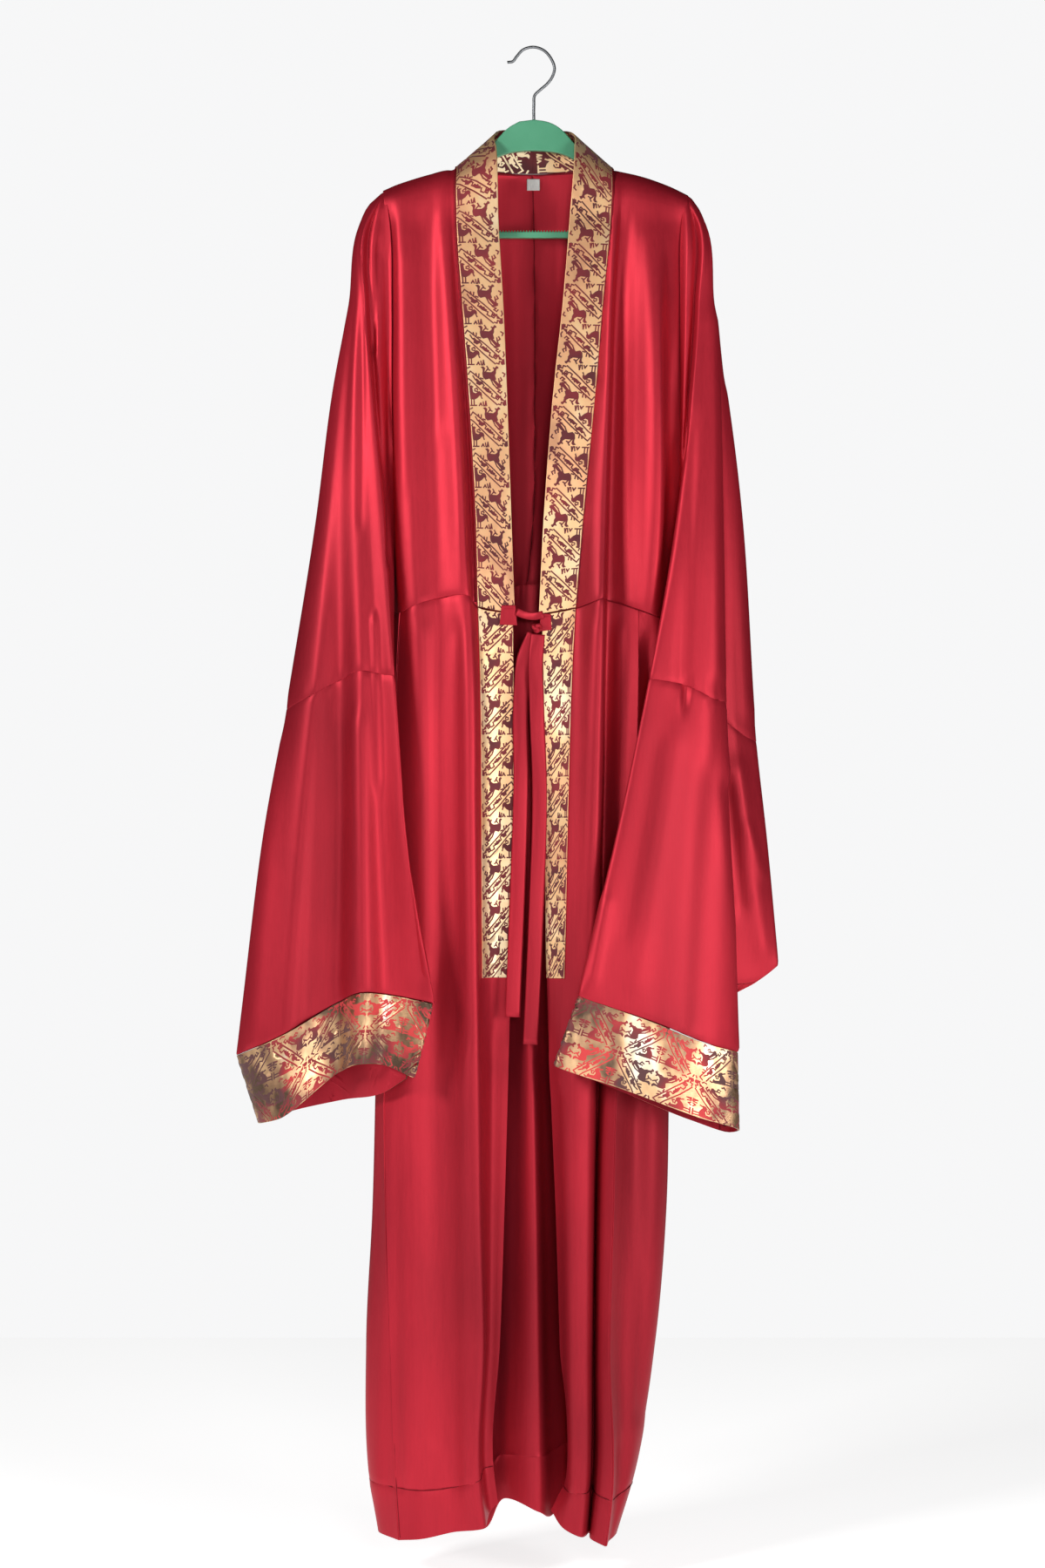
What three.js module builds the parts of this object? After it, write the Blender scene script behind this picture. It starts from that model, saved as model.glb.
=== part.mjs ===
// A long red robe with wide sleeves, brocade collar and cuffs, hung on a plastic hanger with a wire hook.
// Millimetres, +Z up. The robe faces -Y. The origin is the inside of the top of the hook, where a peg carries it.
// Left and right are as seen from the front, so left is the wearer's right.
//
// Each piece of cloth hangs from a few fold lines that run down it. A line has its x, y and z at the same named
// levels as its neighbours, and the cloth is the smooth surface through them.
import * as THREE from "three";

const CLOTH = 1.6; // satin with its seam allowances
const BAND = 2.2; // brocade band with its interlining
const STRIP = 1.2; // brocade laid flat on a front
const SEAM_GAP = 0.2; // half the gap between two pieces along a flat seam
const ANGLED_GAP = 0.9; // the same where the two pieces meet at an angle
const VALLEY_GAP = 0.3; // the same in the sharp valley of an armhole
const LAID_GAP = 0.3; // between a piece and the piece it lies on

const COLUMN_STEP = 13; // widest step across the cloth
const ROW_STEP = 75; // longest step down the cloth

// ---------------------------------------------------------------------------------------------- colours

const SATIN = new THREE.MeshStandardMaterial({ color: 0xb5202f, roughness: 0.42, metalness: 0 });
const BROCADE = new THREE.MeshStandardMaterial({ color: 0xd0a060, roughness: 0.38, metalness: 0.55 });
const LABEL = new THREE.MeshStandardMaterial({ color: 0xf0ece8, roughness: 0.7, metalness: 0 });
const GREEN = new THREE.MeshStandardMaterial({ color: 0x66b68c, roughness: 0.45, metalness: 0 });
const STEEL = new THREE.MeshStandardMaterial({ color: 0xb8bcc0, roughness: 0.25, metalness: 1 });

// ---------------------------------------------------------------------------------------------- surfaces

// One span of a smooth curve through four values, at share t of the way from b to c. The gaps are the spans'
// lengths, so that uneven spacing makes no loops.
function blend(a, b, c, d, gapBefore, gap, gapAfter, t) {
  const slope = (left, middle, right, before, after) =>
    before && after ? (((middle - left) / before) * after + ((right - middle) / after) * before) / (before + after) : null;
  const straight = (c - b) / gap;
  const start = (gapBefore ? slope(a, b, c, gapBefore, gap) : straight) * gap;
  const end = (gapAfter ? slope(b, c, d, gap, gapAfter) : straight) * gap;
  const t2 = t * t;
  const t3 = t2 * t;
  return (2 * t3 - 3 * t2 + 1) * b + (t3 - 2 * t2 + t) * start + (3 * t2 - 2 * t3) * c + (t3 - t2) * end;
}

// The point at place t on the smooth curve through points, where point k is at place k.
function along(points, t) {
  const last = points.length - 1;
  const k = Math.min(Math.floor(t), last - 1);
  const [a, b, c, d] = [k - 1, k, k + 1, k + 2].map((i) => points[Math.min(Math.max(i, 0), last)]);
  const gap = Math.max(b.distanceTo(c), 1e-6);
  const gapBefore = k > 0 ? Math.max(a.distanceTo(b), 1e-6) : 0;
  const gapAfter = k + 2 <= last ? Math.max(c.distanceTo(d), 1e-6) : 0;
  const value = (axis) => blend(a[axis], b[axis], c[axis], d[axis], gapBefore, gap, gapAfter, t - k);
  return new THREE.Vector3(value("x"), value("y"), value("z"));
}

// A cloth surface: line numbers count across it, and level numbers count down it.
function drape(lines) {
  const nets = lines.map(({ x, y, z }) => x.map((_, k) => new THREE.Vector3(x[k], y[k], z[k])));
  const point = (line, level) => along(nets.map((net) => along(net, level)), line);
  return { point, nets };
}

// The places that a stretch of cloth is sampled at: whole lines or levels, with even steps between them.
function places(from, to, lengthOf, step) {
  const found = [from];
  for (let k = Math.floor(from); k < to; k++) {
    const low = Math.max(k, from);
    const high = Math.min(k + 1, to);
    const count = Math.max(1, Math.round(((high - low) * lengthOf(k)) / step));
    for (let i = 1; i <= count; i++) found.push(low + ((high - low) * i) / count);
  }
  return found;
}

// Rows of points on a stretch of cloth, from one line and level to another.
function stretch(cloth, { lines, levels, step = COLUMN_STEP, rowStep = ROW_STEP }) {
  const { nets, point } = cloth;
  const widest = (k) => Math.max(...nets[k].map((p, i) => p.distanceTo(nets[k + 1][i])));
  const longest = (k) => Math.max(...nets.map((net) => net[k].distanceTo(net[k + 1])));
  const across = places(lines[0], lines[1], widest, step);
  const down = places(levels[0], levels[1], longest, rowStep);
  return down.map((level) => across.map((line) => point(line, level)));
}

// Moves the outer points of a grid in by these amounts, which leaves the gaps at the seams.
function inset(grid, { top = 0, bottom = 0, first = 0, last = 0 }) {
  const pull = (from, to, amount) => from.add(to.clone().sub(from).setLength(amount));
  const rows = grid.length;
  const columns = grid[0].length;
  for (let j = 0; j < columns; j++) {
    if (top) pull(grid[0][j], grid[1][j], top);
    if (bottom) pull(grid[rows - 1][j], grid[rows - 2][j], bottom);
  }
  for (let i = 0; i < rows; i++) {
    if (first) pull(grid[i][0], grid[i][1], first);
    if (last) pull(grid[i][columns - 1], grid[i][columns - 2], last);
  }
  return grid;
}

// The unit normal at each point of a grid.
function normals(grid) {
  const rows = grid.length;
  const columns = grid[0].length;
  return grid.map((row, i) =>
    row.map((_, j) => {
      const right = row[Math.min(j + 1, columns - 1)].clone().sub(row[Math.max(j - 1, 0)]);
      const down = grid[Math.min(i + 1, rows - 1)][j].clone().sub(grid[Math.max(i - 1, 0)][j]);
      return right.cross(down).normalize();
    }),
  );
}

// A closed wall of even thickness on a grid of points. lift moves it out from the grid, and facing is 1 where
// the grid's normals point out of the robe and -1 where they point in.
function wall(grid, thickness, { lift = 0, facing = 1 } = {}) {
  const rows = grid.length;
  const columns = grid[0].length;
  const out = normals(grid);
  const positions = [];
  for (const side of [1, -1]) {
    const offset = facing * (lift + (side * thickness) / 2);
    grid.forEach((row, i) => row.forEach((p, j) => positions.push(...p.clone().addScaledVector(out[i][j], offset))));
  }
  const outer = (i, j) => i * columns + j;
  const inner = (i, j) => rows * columns + outer(i, j);
  const index = [];
  const quad = (a, b, c, d) => index.push(...(facing > 0 ? [a, b, c, a, c, d] : [a, c, b, a, d, c]));
  for (let i = 0; i + 1 < rows; i++) {
    for (let j = 0; j + 1 < columns; j++) {
      quad(outer(i, j), outer(i, j + 1), outer(i + 1, j + 1), outer(i + 1, j));
      quad(inner(i, j), inner(i + 1, j), inner(i + 1, j + 1), inner(i, j + 1));
    }
    quad(outer(i, 0), outer(i + 1, 0), inner(i + 1, 0), inner(i, 0));
    quad(outer(i + 1, columns - 1), outer(i, columns - 1), inner(i, columns - 1), inner(i + 1, columns - 1));
  }
  for (let j = 0; j + 1 < columns; j++) {
    quad(outer(0, j + 1), outer(0, j), inner(0, j), inner(0, j + 1));
    quad(outer(rows - 1, j), outer(rows - 1, j + 1), inner(rows - 1, j + 1), inner(rows - 1, j));
  }
  const geometry = new THREE.BufferGeometry();
  geometry.setAttribute("position", new THREE.Float32BufferAttribute(positions, 3));
  geometry.setIndex(index);
  return geometry;
}

const robe = new THREE.Group();

function add(name, geometry, material) {
  const mesh = new THREE.Mesh(geometry, material.clone());
  mesh.name = name;
  robe.add(mesh);
  return mesh;
}

// ---------------------------------------------------------------------------------------------- bodice
// The fronts and the backs meet along the ridge over the hanger's arms.
// Levels: 0 shoulder ridge, 1 shoulder roll, 2 neck, 3 upper chest, 4 chest, 5 under arm, 6 waist seam.

const ROLL = 8; // the roll over the hanger's arm ends this far under the ridge
const CHEST_LEVELS = [-194, -279, -374, -517];
const bodiceLine = (name, ridge, waist, x, y) => ({ name, x, y, z: [ridge, ridge - ROLL, ...CHEST_LEVELS, waist] });
const WAIST = 6;

//          fold line       ridge waist  x at the seven levels                    y at the seven levels
const frontLeft = drape([
  bodiceLine("band seam", -131, -611, [-84, -84, -83, -77, -70, -62, -60], [-1, -11, -19, -24, -27, -32, -36]),
  bodiceLine("groove", -133, -606, [-88, -88, -87, -82, -74, -66, -64], [-1, -11, -18, -21, -23, -27, -36]),
  bodiceLine("crest", -133, -599, [-93, -93, -92, -88, -82, -74, -70], [-1, -11, -20, -29, -35, -43, -46]),
  bodiceLine("dip", -137.5, -601, [-112, -112, -111, -110, -108, -104, -102], [-1, -11, -17, -21, -25, -32, -38]),
  bodiceLine("ridge", -144, -609, [-134, -134, -134, -133, -132, -130, -128], [-1, -11, -18, -24, -30, -37, -41]),
  bodiceLine("side", -149.5, -616, [-150, -149, -147, -146, -146, -145, -143], [-1, -11, -17, -22, -27, -30, -31]),
  bodiceLine("armhole", -153, -619, [-158, -157, -154, -152, -152, -151, -150], [-1, -11, -12, -11, -11, -11, -6]),
]);

const frontRight = drape([
  bodiceLine("band seam", -133, -612, [87, 87, 84, 76, 68, 54, 46], [-1, -11, -19, -25, -29, -36, -40]),
  bodiceLine("crest", -134, -602, [92, 92, 89, 84, 81, 77, 75], [-1, -11, -20, -30, -38, -48, -58]),
  bodiceLine("valley", -135.5, -603, [99, 99, 95, 89.5, 86.5, 82.5, 80.5], [-1, -11, -15, -16, -17, -22, -28]),
  bodiceLine("rise", -139, -611, [115, 115, 114, 113, 112, 110, 108], [-1, -11, -17, -24, -30, -34, -36]),
  bodiceLine("broad", -145, -619, [134, 134, 134, 135, 137, 137, 130], [-1, -11, -19, -32, -42, -44, -40]),
  bodiceLine("side", -153, -623, [154, 153, 151, 149, 148, 146, 141.5], [-1, -11, -15, -19, -17, -18, -20]),
  bodiceLine("armhole", -158, -624, [164, 163, 160, 159, 159, 156, 150], [-1, -11, -12, -12, -12, -12, -6]),
]);

// The back runs from one armhole to the other, with the neck between the fourth line and the tenth.
const back = drape([
  bodiceLine("left armhole", -153, -619, [-158, -157, -154, -152, -152, -151, -150], [1, 11, 14, 15, 15, 11, -5]),
  bodiceLine("left side", -150, -617, [-151, -150, -148, -147, -147, -149, -152], [1, 11, 15, 17, 18, 16, 4]),
  bodiceLine("left blade", -144, -610, [-134, -134, -134, -135, -136, -138, -140], [1, 11, 15, 17, 18, 17, 12]),
  bodiceLine("left fold", -137, -597, [-106, -106, -105, -104, -104, -104, -104], [1, 12, 16, 19, 20, 19, 18]),
  bodiceLine("left neck", -132, -590, [-84, -83, -76, -70, -66, -62, -60], [2, 13, 17, 18, 18, 16, 14]),
  bodiceLine("left nape", -135, -586, [-44, -43, -38, -34, -30, -28, -26], [17, 18, 18, 17, 15, 13, 12]),
  bodiceLine("centre", -135, -584, [0, 0, 1, 2, 2, 0, -6], [22, 22, 20, 14, 11, 9, 7]),
  bodiceLine("right nape", -135, -584, [24, 24, 24, 22, 20, 15, 10], [20, 21, 20, 18, 16, 13, 9]),
  bodiceLine("right slope", -134, -588, [52, 52, 50, 48, 48, 48, 48], [15, 17, 20, 22, 22, 22, 22]),
  bodiceLine("right neck", -134, -596, [87, 86, 86, 88, 90, 90, 90], [2, 13, 17, 20, 20, 19, 18]),
  bodiceLine("right blade", -147, -610, [138, 138, 137, 136, 134, 131, 128], [1, 11, 15, 17, 17, 15, 12]),
  bodiceLine("right side", -153.5, -622, [155, 154, 153, 152, 152, 152, 151], [1, 11, 15, 17, 17, 15, 4]),
  bodiceLine("right armhole", -158, -624, [164, 163, 160, 159, 159, 156, 150], [1, 11, 14, 15, 15, 11, -5]),
]);
const CENTRE_BACK = 6;

function bodicePiece(name, cloth, lines, facing, gaps) {
  const grid = inset(stretch(cloth, { lines, levels: [0, WAIST] }), { top: SEAM_GAP, bottom: SEAM_GAP, ...gaps });
  add(name, wall(grid, CLOTH, { facing }), SATIN);
}
bodicePiece("bodice_front_left", frontLeft, [0, 6], 1, { first: ANGLED_GAP, last: VALLEY_GAP });
bodicePiece("bodice_front_right", frontRight, [0, 6], -1, { first: ANGLED_GAP, last: VALLEY_GAP });
bodicePiece("bodice_back_left", back, [0, CENTRE_BACK], 1, { first: VALLEY_GAP, last: SEAM_GAP });
bodicePiece("bodice_back_right", back, [CENTRE_BACK, 12], 1, { first: SEAM_GAP, last: VALLEY_GAP });

// ---------------------------------------------------------------------------------------------- sleeves
// A sleeve is a sheet rolled round: from the front armhole and the underarm seam, across its front to the
// shoulder fold, and across its back to the same seam. It meets the bodice in the valley of the armhole.
// Levels: 0 ridge, 1 roll, 2 neck, 3 upper chest, 4 chest, 5 under arm, 6 sleeve seam, 7 forearm, 8 cuff seam.

const sleeveLine = (name, ridge, x, y, low) => ({ name, x, y, z: [ridge, ridge - ROLL, ...CHEST_LEVELS, ...low] });
const SLEEVE_SEAM = 6;
const CUFF_SEAM = 8;

//          fold line        ridge  x, then y, at the nine levels; z at the last three
const sleeveLeft = drape([
  sleeveLine("front armhole", -155.6, [-159.8, -159.6, -155.8, -153.8, -153.8, -152.8, -153, -139, -116],
    [-3, -10.6, -13.2, -12.6, -12.6, -12.8, -46, -60, -66], [-688, -860, -1034]),
  sleeveLine("tuck valley", -156.4, [-161.4, -162.4, -164, -161, -159, -155.5, -151.5, -138, -114],
    [-3.7, -10.5, -12, -12.5, -13, -19, -50, -63, -69], [-687.5, -860, -1034.5]),
  sleeveLine("tuck crest", -156.9, [-161.8, -164, -171, -171, -167, -157.5, -150.5, -136.5, -111.5],
    [-3.4, -11, -18, -22, -24, -28, -55, -67, -72.5], [-687, -860, -1035]),
  sleeveLine("tuck shadow", -157.4, [-162.2, -165.4, -176, -177, -171, -159, -150, -135.5, -109],
    [-3.2, -10.5, -12, -14, -17, -32, -59, -70, -76], [-686.5, -860, -1035.5]),
  sleeveLine("inner crest", -157.9, [-162.7, -166.6, -181, -183, -175, -161, -149, -135, -107],
    [-3, -10.5, -19, -24, -33, -47, -62, -72, -78], [-686, -860, -1036]),
  sleeveLine("pleat valley", -158.6, [-164, -169, -183, -187, -185, -177, -168, -164, -156],
    [-2.6, -10, -15, -19, -26, -39, -53, -60, -58], [-683, -860, -1028]),
  sleeveLine("pleat crest", -159.4, [-165.4, -171, -185.5, -190.5, -194, -192, -184, -181, -181],
    [-2.2, -9, -13, -19, -29, -42, -58, -69, -72], [-680, -860, -1025]),
  sleeveLine("dark valley", -160.6, [-167, -174, -187, -194, -201, -208, -208, -207, -209],
    [-1.6, -7.5, -9, -12, -17, -25, -34, -38, -42], [-690, -860, -1037]),
  sleeveLine("outer crest", -161.4, [-168, -176, -188.4, -197.5, -208.5, -222, -239, -255, -272],
    [-1, -5, -6, -9, -17, -28, -42, -48, -54], [-706, -862, -1073]),
  sleeveLine("shoulder fold", -163, [-170, -178.3, -189.6, -200.5, -217, -235, -267, -291, -321],
    [0, 0, 1, 1, -2, -8, -12, -16, -18], [-721, -866, -1096]),
  sleeveLine("outer back", -161.4, [-167, -175, -187, -195.5, -208, -222, -246, -266, -292],
    [1, 7, 11, 13, 14, 12, 10, 6, 2], [-708, -862, -1086]),
  sleeveLine("back fold", -159, [-165, -170, -181, -186, -192, -200, -211, -221, -236],
    [2, 9, 13, 16, 19, 18, 14, 6, -2], [-692, -860, -1074]),
  sleeveLine("inner back", -157.2, [-162.5, -164, -170, -171, -172, -174, -177, -178, -174],
    [3, 10, 15, 18, 18, 8, -18, -34, -46], [-688, -860, -1058]),
  sleeveLine("back armhole", -155.6, [-159.8, -159.6, -155.8, -153.8, -153.8, -153, -156, -141, -119],
    [3, 10.8, 15.6, 16.6, 16.6, 12.6, -42, -57, -63], [-688, -860, -1042]),
]);

const sleeveRight = drape([
  sleeveLine("front armhole", -160.6, [165.6, 165.2, 161.8, 160.6, 160.6, 157.6, 145.5, 114, 68],
    [-3.4, -10.6, -13.4, -13.8, -13.8, -13.8, -46, -61, -70], [-689, -860, -1030]),
  sleeveLine("tuck crest", -161.2, [166.8, 167, 169, 168, 165, 157.5, 139, 107, 62],
    [-3.8, -10.8, -19, -22, -24, -26, -52, -66, -75], [-689, -860, -1029]),
  sleeveLine("tuck shadow", -161.7, [167.8, 169, 176, 175, 169, 156.5, 132, 99, 56],
    [-3.5, -10.5, -12, -14, -17, -34, -58, -70, -80], [-689, -860, -1028]),
  sleeveLine("inner crest", -162.3, [169, 171.5, 181.5, 180.5, 173, 155, 125, 90, 50],
    [-3.2, -10.5, -19, -26, -36, -50, -66, -76, -86], [-689, -860, -1027]),
  sleeveLine("middle", -163.2, [170.6, 174, 184, 186, 184, 174, 164, 150, 134],
    [-2.8, -10, -17, -25, -36, -56, -66, -78, -84], [-696, -860, -1058]),
  sleeveLine("rise", -164.2, [172, 176, 185.8, 191.5, 195, 194, 193, 190, 184],
    [-2.4, -9.5, -15, -23, -33, -50, -60, -66, -70], [-710, -860, -1079]),
  sleeveLine("front crest", -165.6, [173.5, 177.5, 187, 195.5, 200.5, 204, 208, 215, 219.5],
    [-2, -9, -14, -20, -27, -38, -44, -48, -50], [-715, -862, -1091]),
  sleeveLine("flap fold", -166.3, [174, 178.5, 187, 193.5, 196, 197, 199, 202, 206],
    [-1.5, -7, -8, -10, -14, -22, -26, -26, -20], [-722, -863, -1022]),
  sleeveLine("flap middle", -167.4, [175, 180, 188, 196.5, 205, 214, 222, 231, 242],
    [-1, -5, -4, -4, -8, -12, -16, -20, -8], [-744, -865, -1017]),
  sleeveLine("flap edge", -168.5, [175.5, 180.8, 188.6, 197.5, 209.5, 227, 243, 255, 267],
    [0, 0, 2, 4, 2, 1, 0, -2, -3], [-756, -866, -1000]),
  sleeveLine("flap back", -166.8, [174, 178.5, 187, 193.5, 201, 212, 222, 230, 242],
    [1.5, 8, 13, 15, 16, 15, 14, 10, -4], [-740, -864, -1019]),
  sleeveLine("back fold", -164.5, [170.5, 173, 183, 187, 190, 190, 190, 190, 190],
    [3, 10, 15, 19, 21, 20, 14, 2, -12], [-720, -861, -1040]),
  sleeveLine("inner back", -162.2, [168.5, 170, 174, 173, 172, 170, 164, 146, 108],
    [3.5, 11, 17, 20, 20, 12, -14, -46, -60], [-700, -860, -1044]),
  sleeveLine("back armhole", -160.6, [165.6, 165.2, 161.8, 160.6, 160.6, 157.8, 148, 116, 71],
    [3, 10.8, 15.8, 17, 17, 12.8, -42, -58, -67], [-689, -860, -1036]),
]);

function sleevePiece(name, cloth, count, levels, facing, gaps) {
  const grid = inset(stretch(cloth, { lines: [0, count], levels }), { first: SEAM_GAP, last: SEAM_GAP, ...gaps });
  add(name, wall(grid, CLOTH, { facing }), SATIN);
}
const SEAM_ENDS = { top: SEAM_GAP, bottom: SEAM_GAP };
sleevePiece("sleeve_upper_left", sleeveLeft, 13, [0, SLEEVE_SEAM], 1, SEAM_ENDS);
sleevePiece("sleeve_lower_left", sleeveLeft, 13, [SLEEVE_SEAM, CUFF_SEAM], 1, SEAM_ENDS);
sleevePiece("sleeve_upper_right", sleeveRight, 13, [0, SLEEVE_SEAM], -1, SEAM_ENDS);
sleevePiece("sleeve_lower_right", sleeveRight, 13, [SLEEVE_SEAM, CUFF_SEAM], -1, { ...SEAM_ENDS, bottom: ANGLED_GAP });

// ---------------------------------------------------------------------------------------------- cuffs
// Levels: 0 cuff seam, 1 cuff end.

const cuffLine = (name, x, y, z) => ({ name, x, y, z });

//        fold line         x at top, end   y at top, end   z at top, end
const cuffLeft = drape([
  cuffLine("underarm", [-116, -134], [-66, -66], [-1034, -1112]),
  cuffLine("inner crest", [-107, -127], [-78, -78], [-1036, -1116]),
  cuffLine("valley", [-156, -163], [-58, -60], [-1028, -1103]),
  cuffLine("crest", [-181, -186], [-72, -72], [-1025, -1102]),
  cuffLine("hollow", [-209, -208], [-42, -44], [-1037, -1112]),
  cuffLine("ridge", [-272, -271], [-54, -56], [-1073, -1161]),
  cuffLine("shoulder fold", [-321, -297], [-18, -22], [-1096, -1169]),
  cuffLine("outer back", [-292, -268], [2, 0], [-1086, -1160]),
  cuffLine("back fold", [-236, -208], [-2, -4], [-1074, -1146]),
  cuffLine("inner back", [-174, -160], [-46, -46], [-1058, -1134]),
  cuffLine("back underarm", [-119, -136], [-63, -63], [-1042, -1118]),
]);

const cuffRight = drape([
  cuffLine("underarm", [68, 40], [-70, -72], [-1032, -1104]),
  cuffLine("inner crest", [50, 23], [-86, -90], [-1027, -1101]),
  cuffLine("middle", [134, 106], [-84, -88], [-1058, -1131]),
  cuffLine("rise", [184, 178], [-70, -74], [-1079, -1159]),
  cuffLine("shoulder fold", [219.5, 221], [-50, -56], [-1091, -1174]),
  cuffLine("back edge", [206, 212], [-32, -38], [-1094, -1178]),
  cuffLine("back fold", [176, 172], [-28, -32], [-1082, -1166]),
  cuffLine("inner back", [112, 104], [-58, -58], [-1056, -1136]),
  cuffLine("back underarm", [71, 43], [-66, -68], [-1038, -1110]),
]);

function cuff(name, cloth, count, facing) {
  const grid = stretch(cloth, { lines: [0, count], levels: [0, 1], rowStep: 28 });
  add(name, wall(inset(grid, { top: 0.7, first: 0.3, last: 0.3 }), BAND, { facing }), BROCADE);
}
cuff("cuff_left", cuffLeft, 10, 1);
cuff("cuff_right", cuffRight, 8, -1);

// ---------------------------------------------------------------------------------------------- skirt
// The fronts hang from the waist seam, and the back wraps round both sides to the seams with the fronts.
// Levels: 0 waist, 1 hip, 2 thigh, 3 sleeve end, 4 knee, 5 calf, 6 shin, 7 hem seam, 8 hem.

const SKIRT_LEVELS = [-688, -830, -1011, -1125, -1265, -1410];
const skirtLine = (name, waist, x, y, seam, hem) => ({ name, x, y, z: [waist, ...SKIRT_LEVELS, seam, hem] });
const HEM_SEAM = 7;
const HEM = 8;

//          fold line      waist  x at the nine levels                                y at the nine levels, hem seam z, hem z
const skirtLeft = drape([
  skirtLine("opening edge", -619, [-22, -21, -21, -24, -27, -31, -36, -43, -38],
    [-35.5, -34, -33, -32, -25, -20, -19, -19, -20], -1542, -1582),
  skirtLine("setback", -616, [-40, -40, -39, -40, -42, -44, -46, -52, -46],
    [-36, -36, -35, -33, -26, -21, -20, -20, -21], -1544, -1590),
  skirtLine("band seam", -611.8, [-60, -58, -57, -56, -54, -53, -50, -56, -50],
    [-37, -45, -46, -46, -44, -42, -40, -40, -40], -1547, -1597),
  skirtLine("crest", -599.4, [-70, -64, -62, -60, -58, -56, -52, -58, -52],
    [-46, -53, -55, -56, -57, -58, -58, -58, -56], -1550, -1601),
  skirtLine("dip", -601.2, [-102, -102, -102, -100, -98, -96, -92, -88, -86],
    [-37, -38, -38, -38, -40, -42, -44, -46, -46], -1560, -1608),
  skirtLine("ridge", -609.2, [-128, -128, -128, -128, -128, -126, -124, -122, -122],
    [-41, -40, -38, -38, -40, -44, -48, -52, -54], -1562, -1614),
  skirtLine("side seam", -616.2, [-143, -147, -152, -156, -159, -156, -152, -147, -143],
    [-31, -28, -24, -22, -24, -30, -36, -42, -44], -1561, -1617),
]);

const skirtRight = drape([
  skirtLine("opening edge", -620, [9, 11, 13, 15, 19, 24, 28, 32, 20],
    [-46, -46, -45, -44, -40, -36, -34, -32, -30], -1560, -1588),
  skirtLine("band seam", -613, [46, 42, 38, 34, 30, 34, 38, 40, 34],
    [-40, -44, -48, -52, -54, -54, -54, -52, -50], -1564, -1604),
  skirtLine("crest", -602.8, [75, 73.5, 70.5, 66, 61, 58, 56, 54, 50],
    [-58, -58, -58, -58, -60, -60, -60, -58, -56], -1564, -1611),
  skirtLine("valley", -603.8, [80.5, 79, 76.5, 73.5, 71, 68, 66, 64, 62],
    [-32, -26, -24, -22, -22, -22, -22, -24, -26], -1562, -1611),
  skirtLine("fold", -609, [98, 98, 96, 88, 78, 74, 72, 70, 63],
    [-34, -34, -36, -40, -46, -50, -52, -52, -50], -1567, -1615),
  skirtLine("side seam", -614, [112, 112, 108, 98, 88, 84, 80, 82, 76],
    [-37, -40, -44, -48, -54, -58, -60, -60, -58], -1571, -1620),
]);

// The back goes from the left front seam round the left side, across, and round the right side.
const skirtBack = drape([
  skirtLine("left front seam", -617, [-145, -149, -155, -159, -162, -159, -155, -150, -146],
    [-29, -26, -22, -20, -22, -28, -34, -40, -42], -1561, -1617),
  skirtLine("left edge", -619, [-153, -158, -164, -168, -170, -173, -180, -176, -167],
    [-6, -8, -8, -8, -8, -10, -12, -14, -16], -1558, -1614),
  skirtLine("left back", -617, [-150, -152, -158, -162, -164, -166, -168, -166, -154],
    [6, 10, 16, 20, 24, 28, 30, 30, 28], -1560, -1615),
  skirtLine("left fold", -609, [-122, -124, -126, -130, -132, -132, -132, -130, -124],
    [16, 18, 16, 12, 8, 6, 6, 6, 6], -1564, -1618),
  skirtLine("left ridge", -597, [-84, -86, -88, -92, -94, -96, -96, -94, -90],
    [16, 24, 34, 40, 44, 46, 46, 44, 42], -1566, -1620),
  skirtLine("left valley", -590, [-50, -50, -50, -52, -54, -54, -54, -54, -52],
    [13, 12, 12, 12, 12, 12, 12, 12, 12], -1562, -1616),
  skirtLine("middle", -586, [-22, -22, -24, -26, -28, -30, -34, -36, -32],
    [11, 12, 14, 12, 8, 4, 0, -4, -6], -1534, -1580),
  skirtLine("middle ridge", -584, [-6, -6, -5, -3, 0, 3, 5, 7, 7],
    [8, 4, -2, -12, -19, -24, -28, -30, -30], -1530, -1590),
  skirtLine("middle valley", -585, [14, 14, 14, 15, 16, 18, 20, 22, 21],
    [10, 8, 6, 6, 6, 6, 6, 6, 6], -1530, -1600),
  skirtLine("pocket", -588, [30, 30, 29, 28, 28, 29, 31, 33, 32],
    [16, 18, 18, 20, 20, 22, 22, 22, 20], -1525, -1590),
  skirtLine("right ridge", -592, [62, 62, 60, 58, 58, 58, 56, 54, 50],
    [20, 28, 36, 40, 44, 45, 43, 39, 34], -1566, -1620),
  skirtLine("right fold", -600, [96, 98, 100, 102, 100, 95, 88, 80, 74],
    [18, 16, 12, 10, 8, 8, 8, 8, 8], -1566, -1620),
  skirtLine("right back", -616, [138, 140, 140, 140, 139, 136, 125, 101, 84],
    [10, 14, 20, 24, 26, 26, 24, 20, 16], -1562, -1614),
  skirtLine("right edge", -626, [150, 150, 149, 148, 146, 143, 131, 107, 91],
    [-6, -8, -10, -12, -12, -12, -12, -12, -12], -1562, -1613),
  skirtLine("right ridge front", -623, [137, 134, 133, 131, 127, 121, 112, 99, 86],
    [-34, -34, -32, -30, -30, -30, -30, -32, -34], -1566, -1616),
  skirtLine("right hollow", -619, [126, 126, 122, 116, 110, 105, 99, 92, 82],
    [-39, -28, -26, -24, -26, -30, -32, -36, -40], -1570, -1618),
  skirtLine("right front seam", -615, [115, 115, 111, 101, 91, 87, 83, 85, 79],
    [-37, -39, -43, -47, -53, -57, -59, -59, -57], -1571, -1620),
]);

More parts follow.
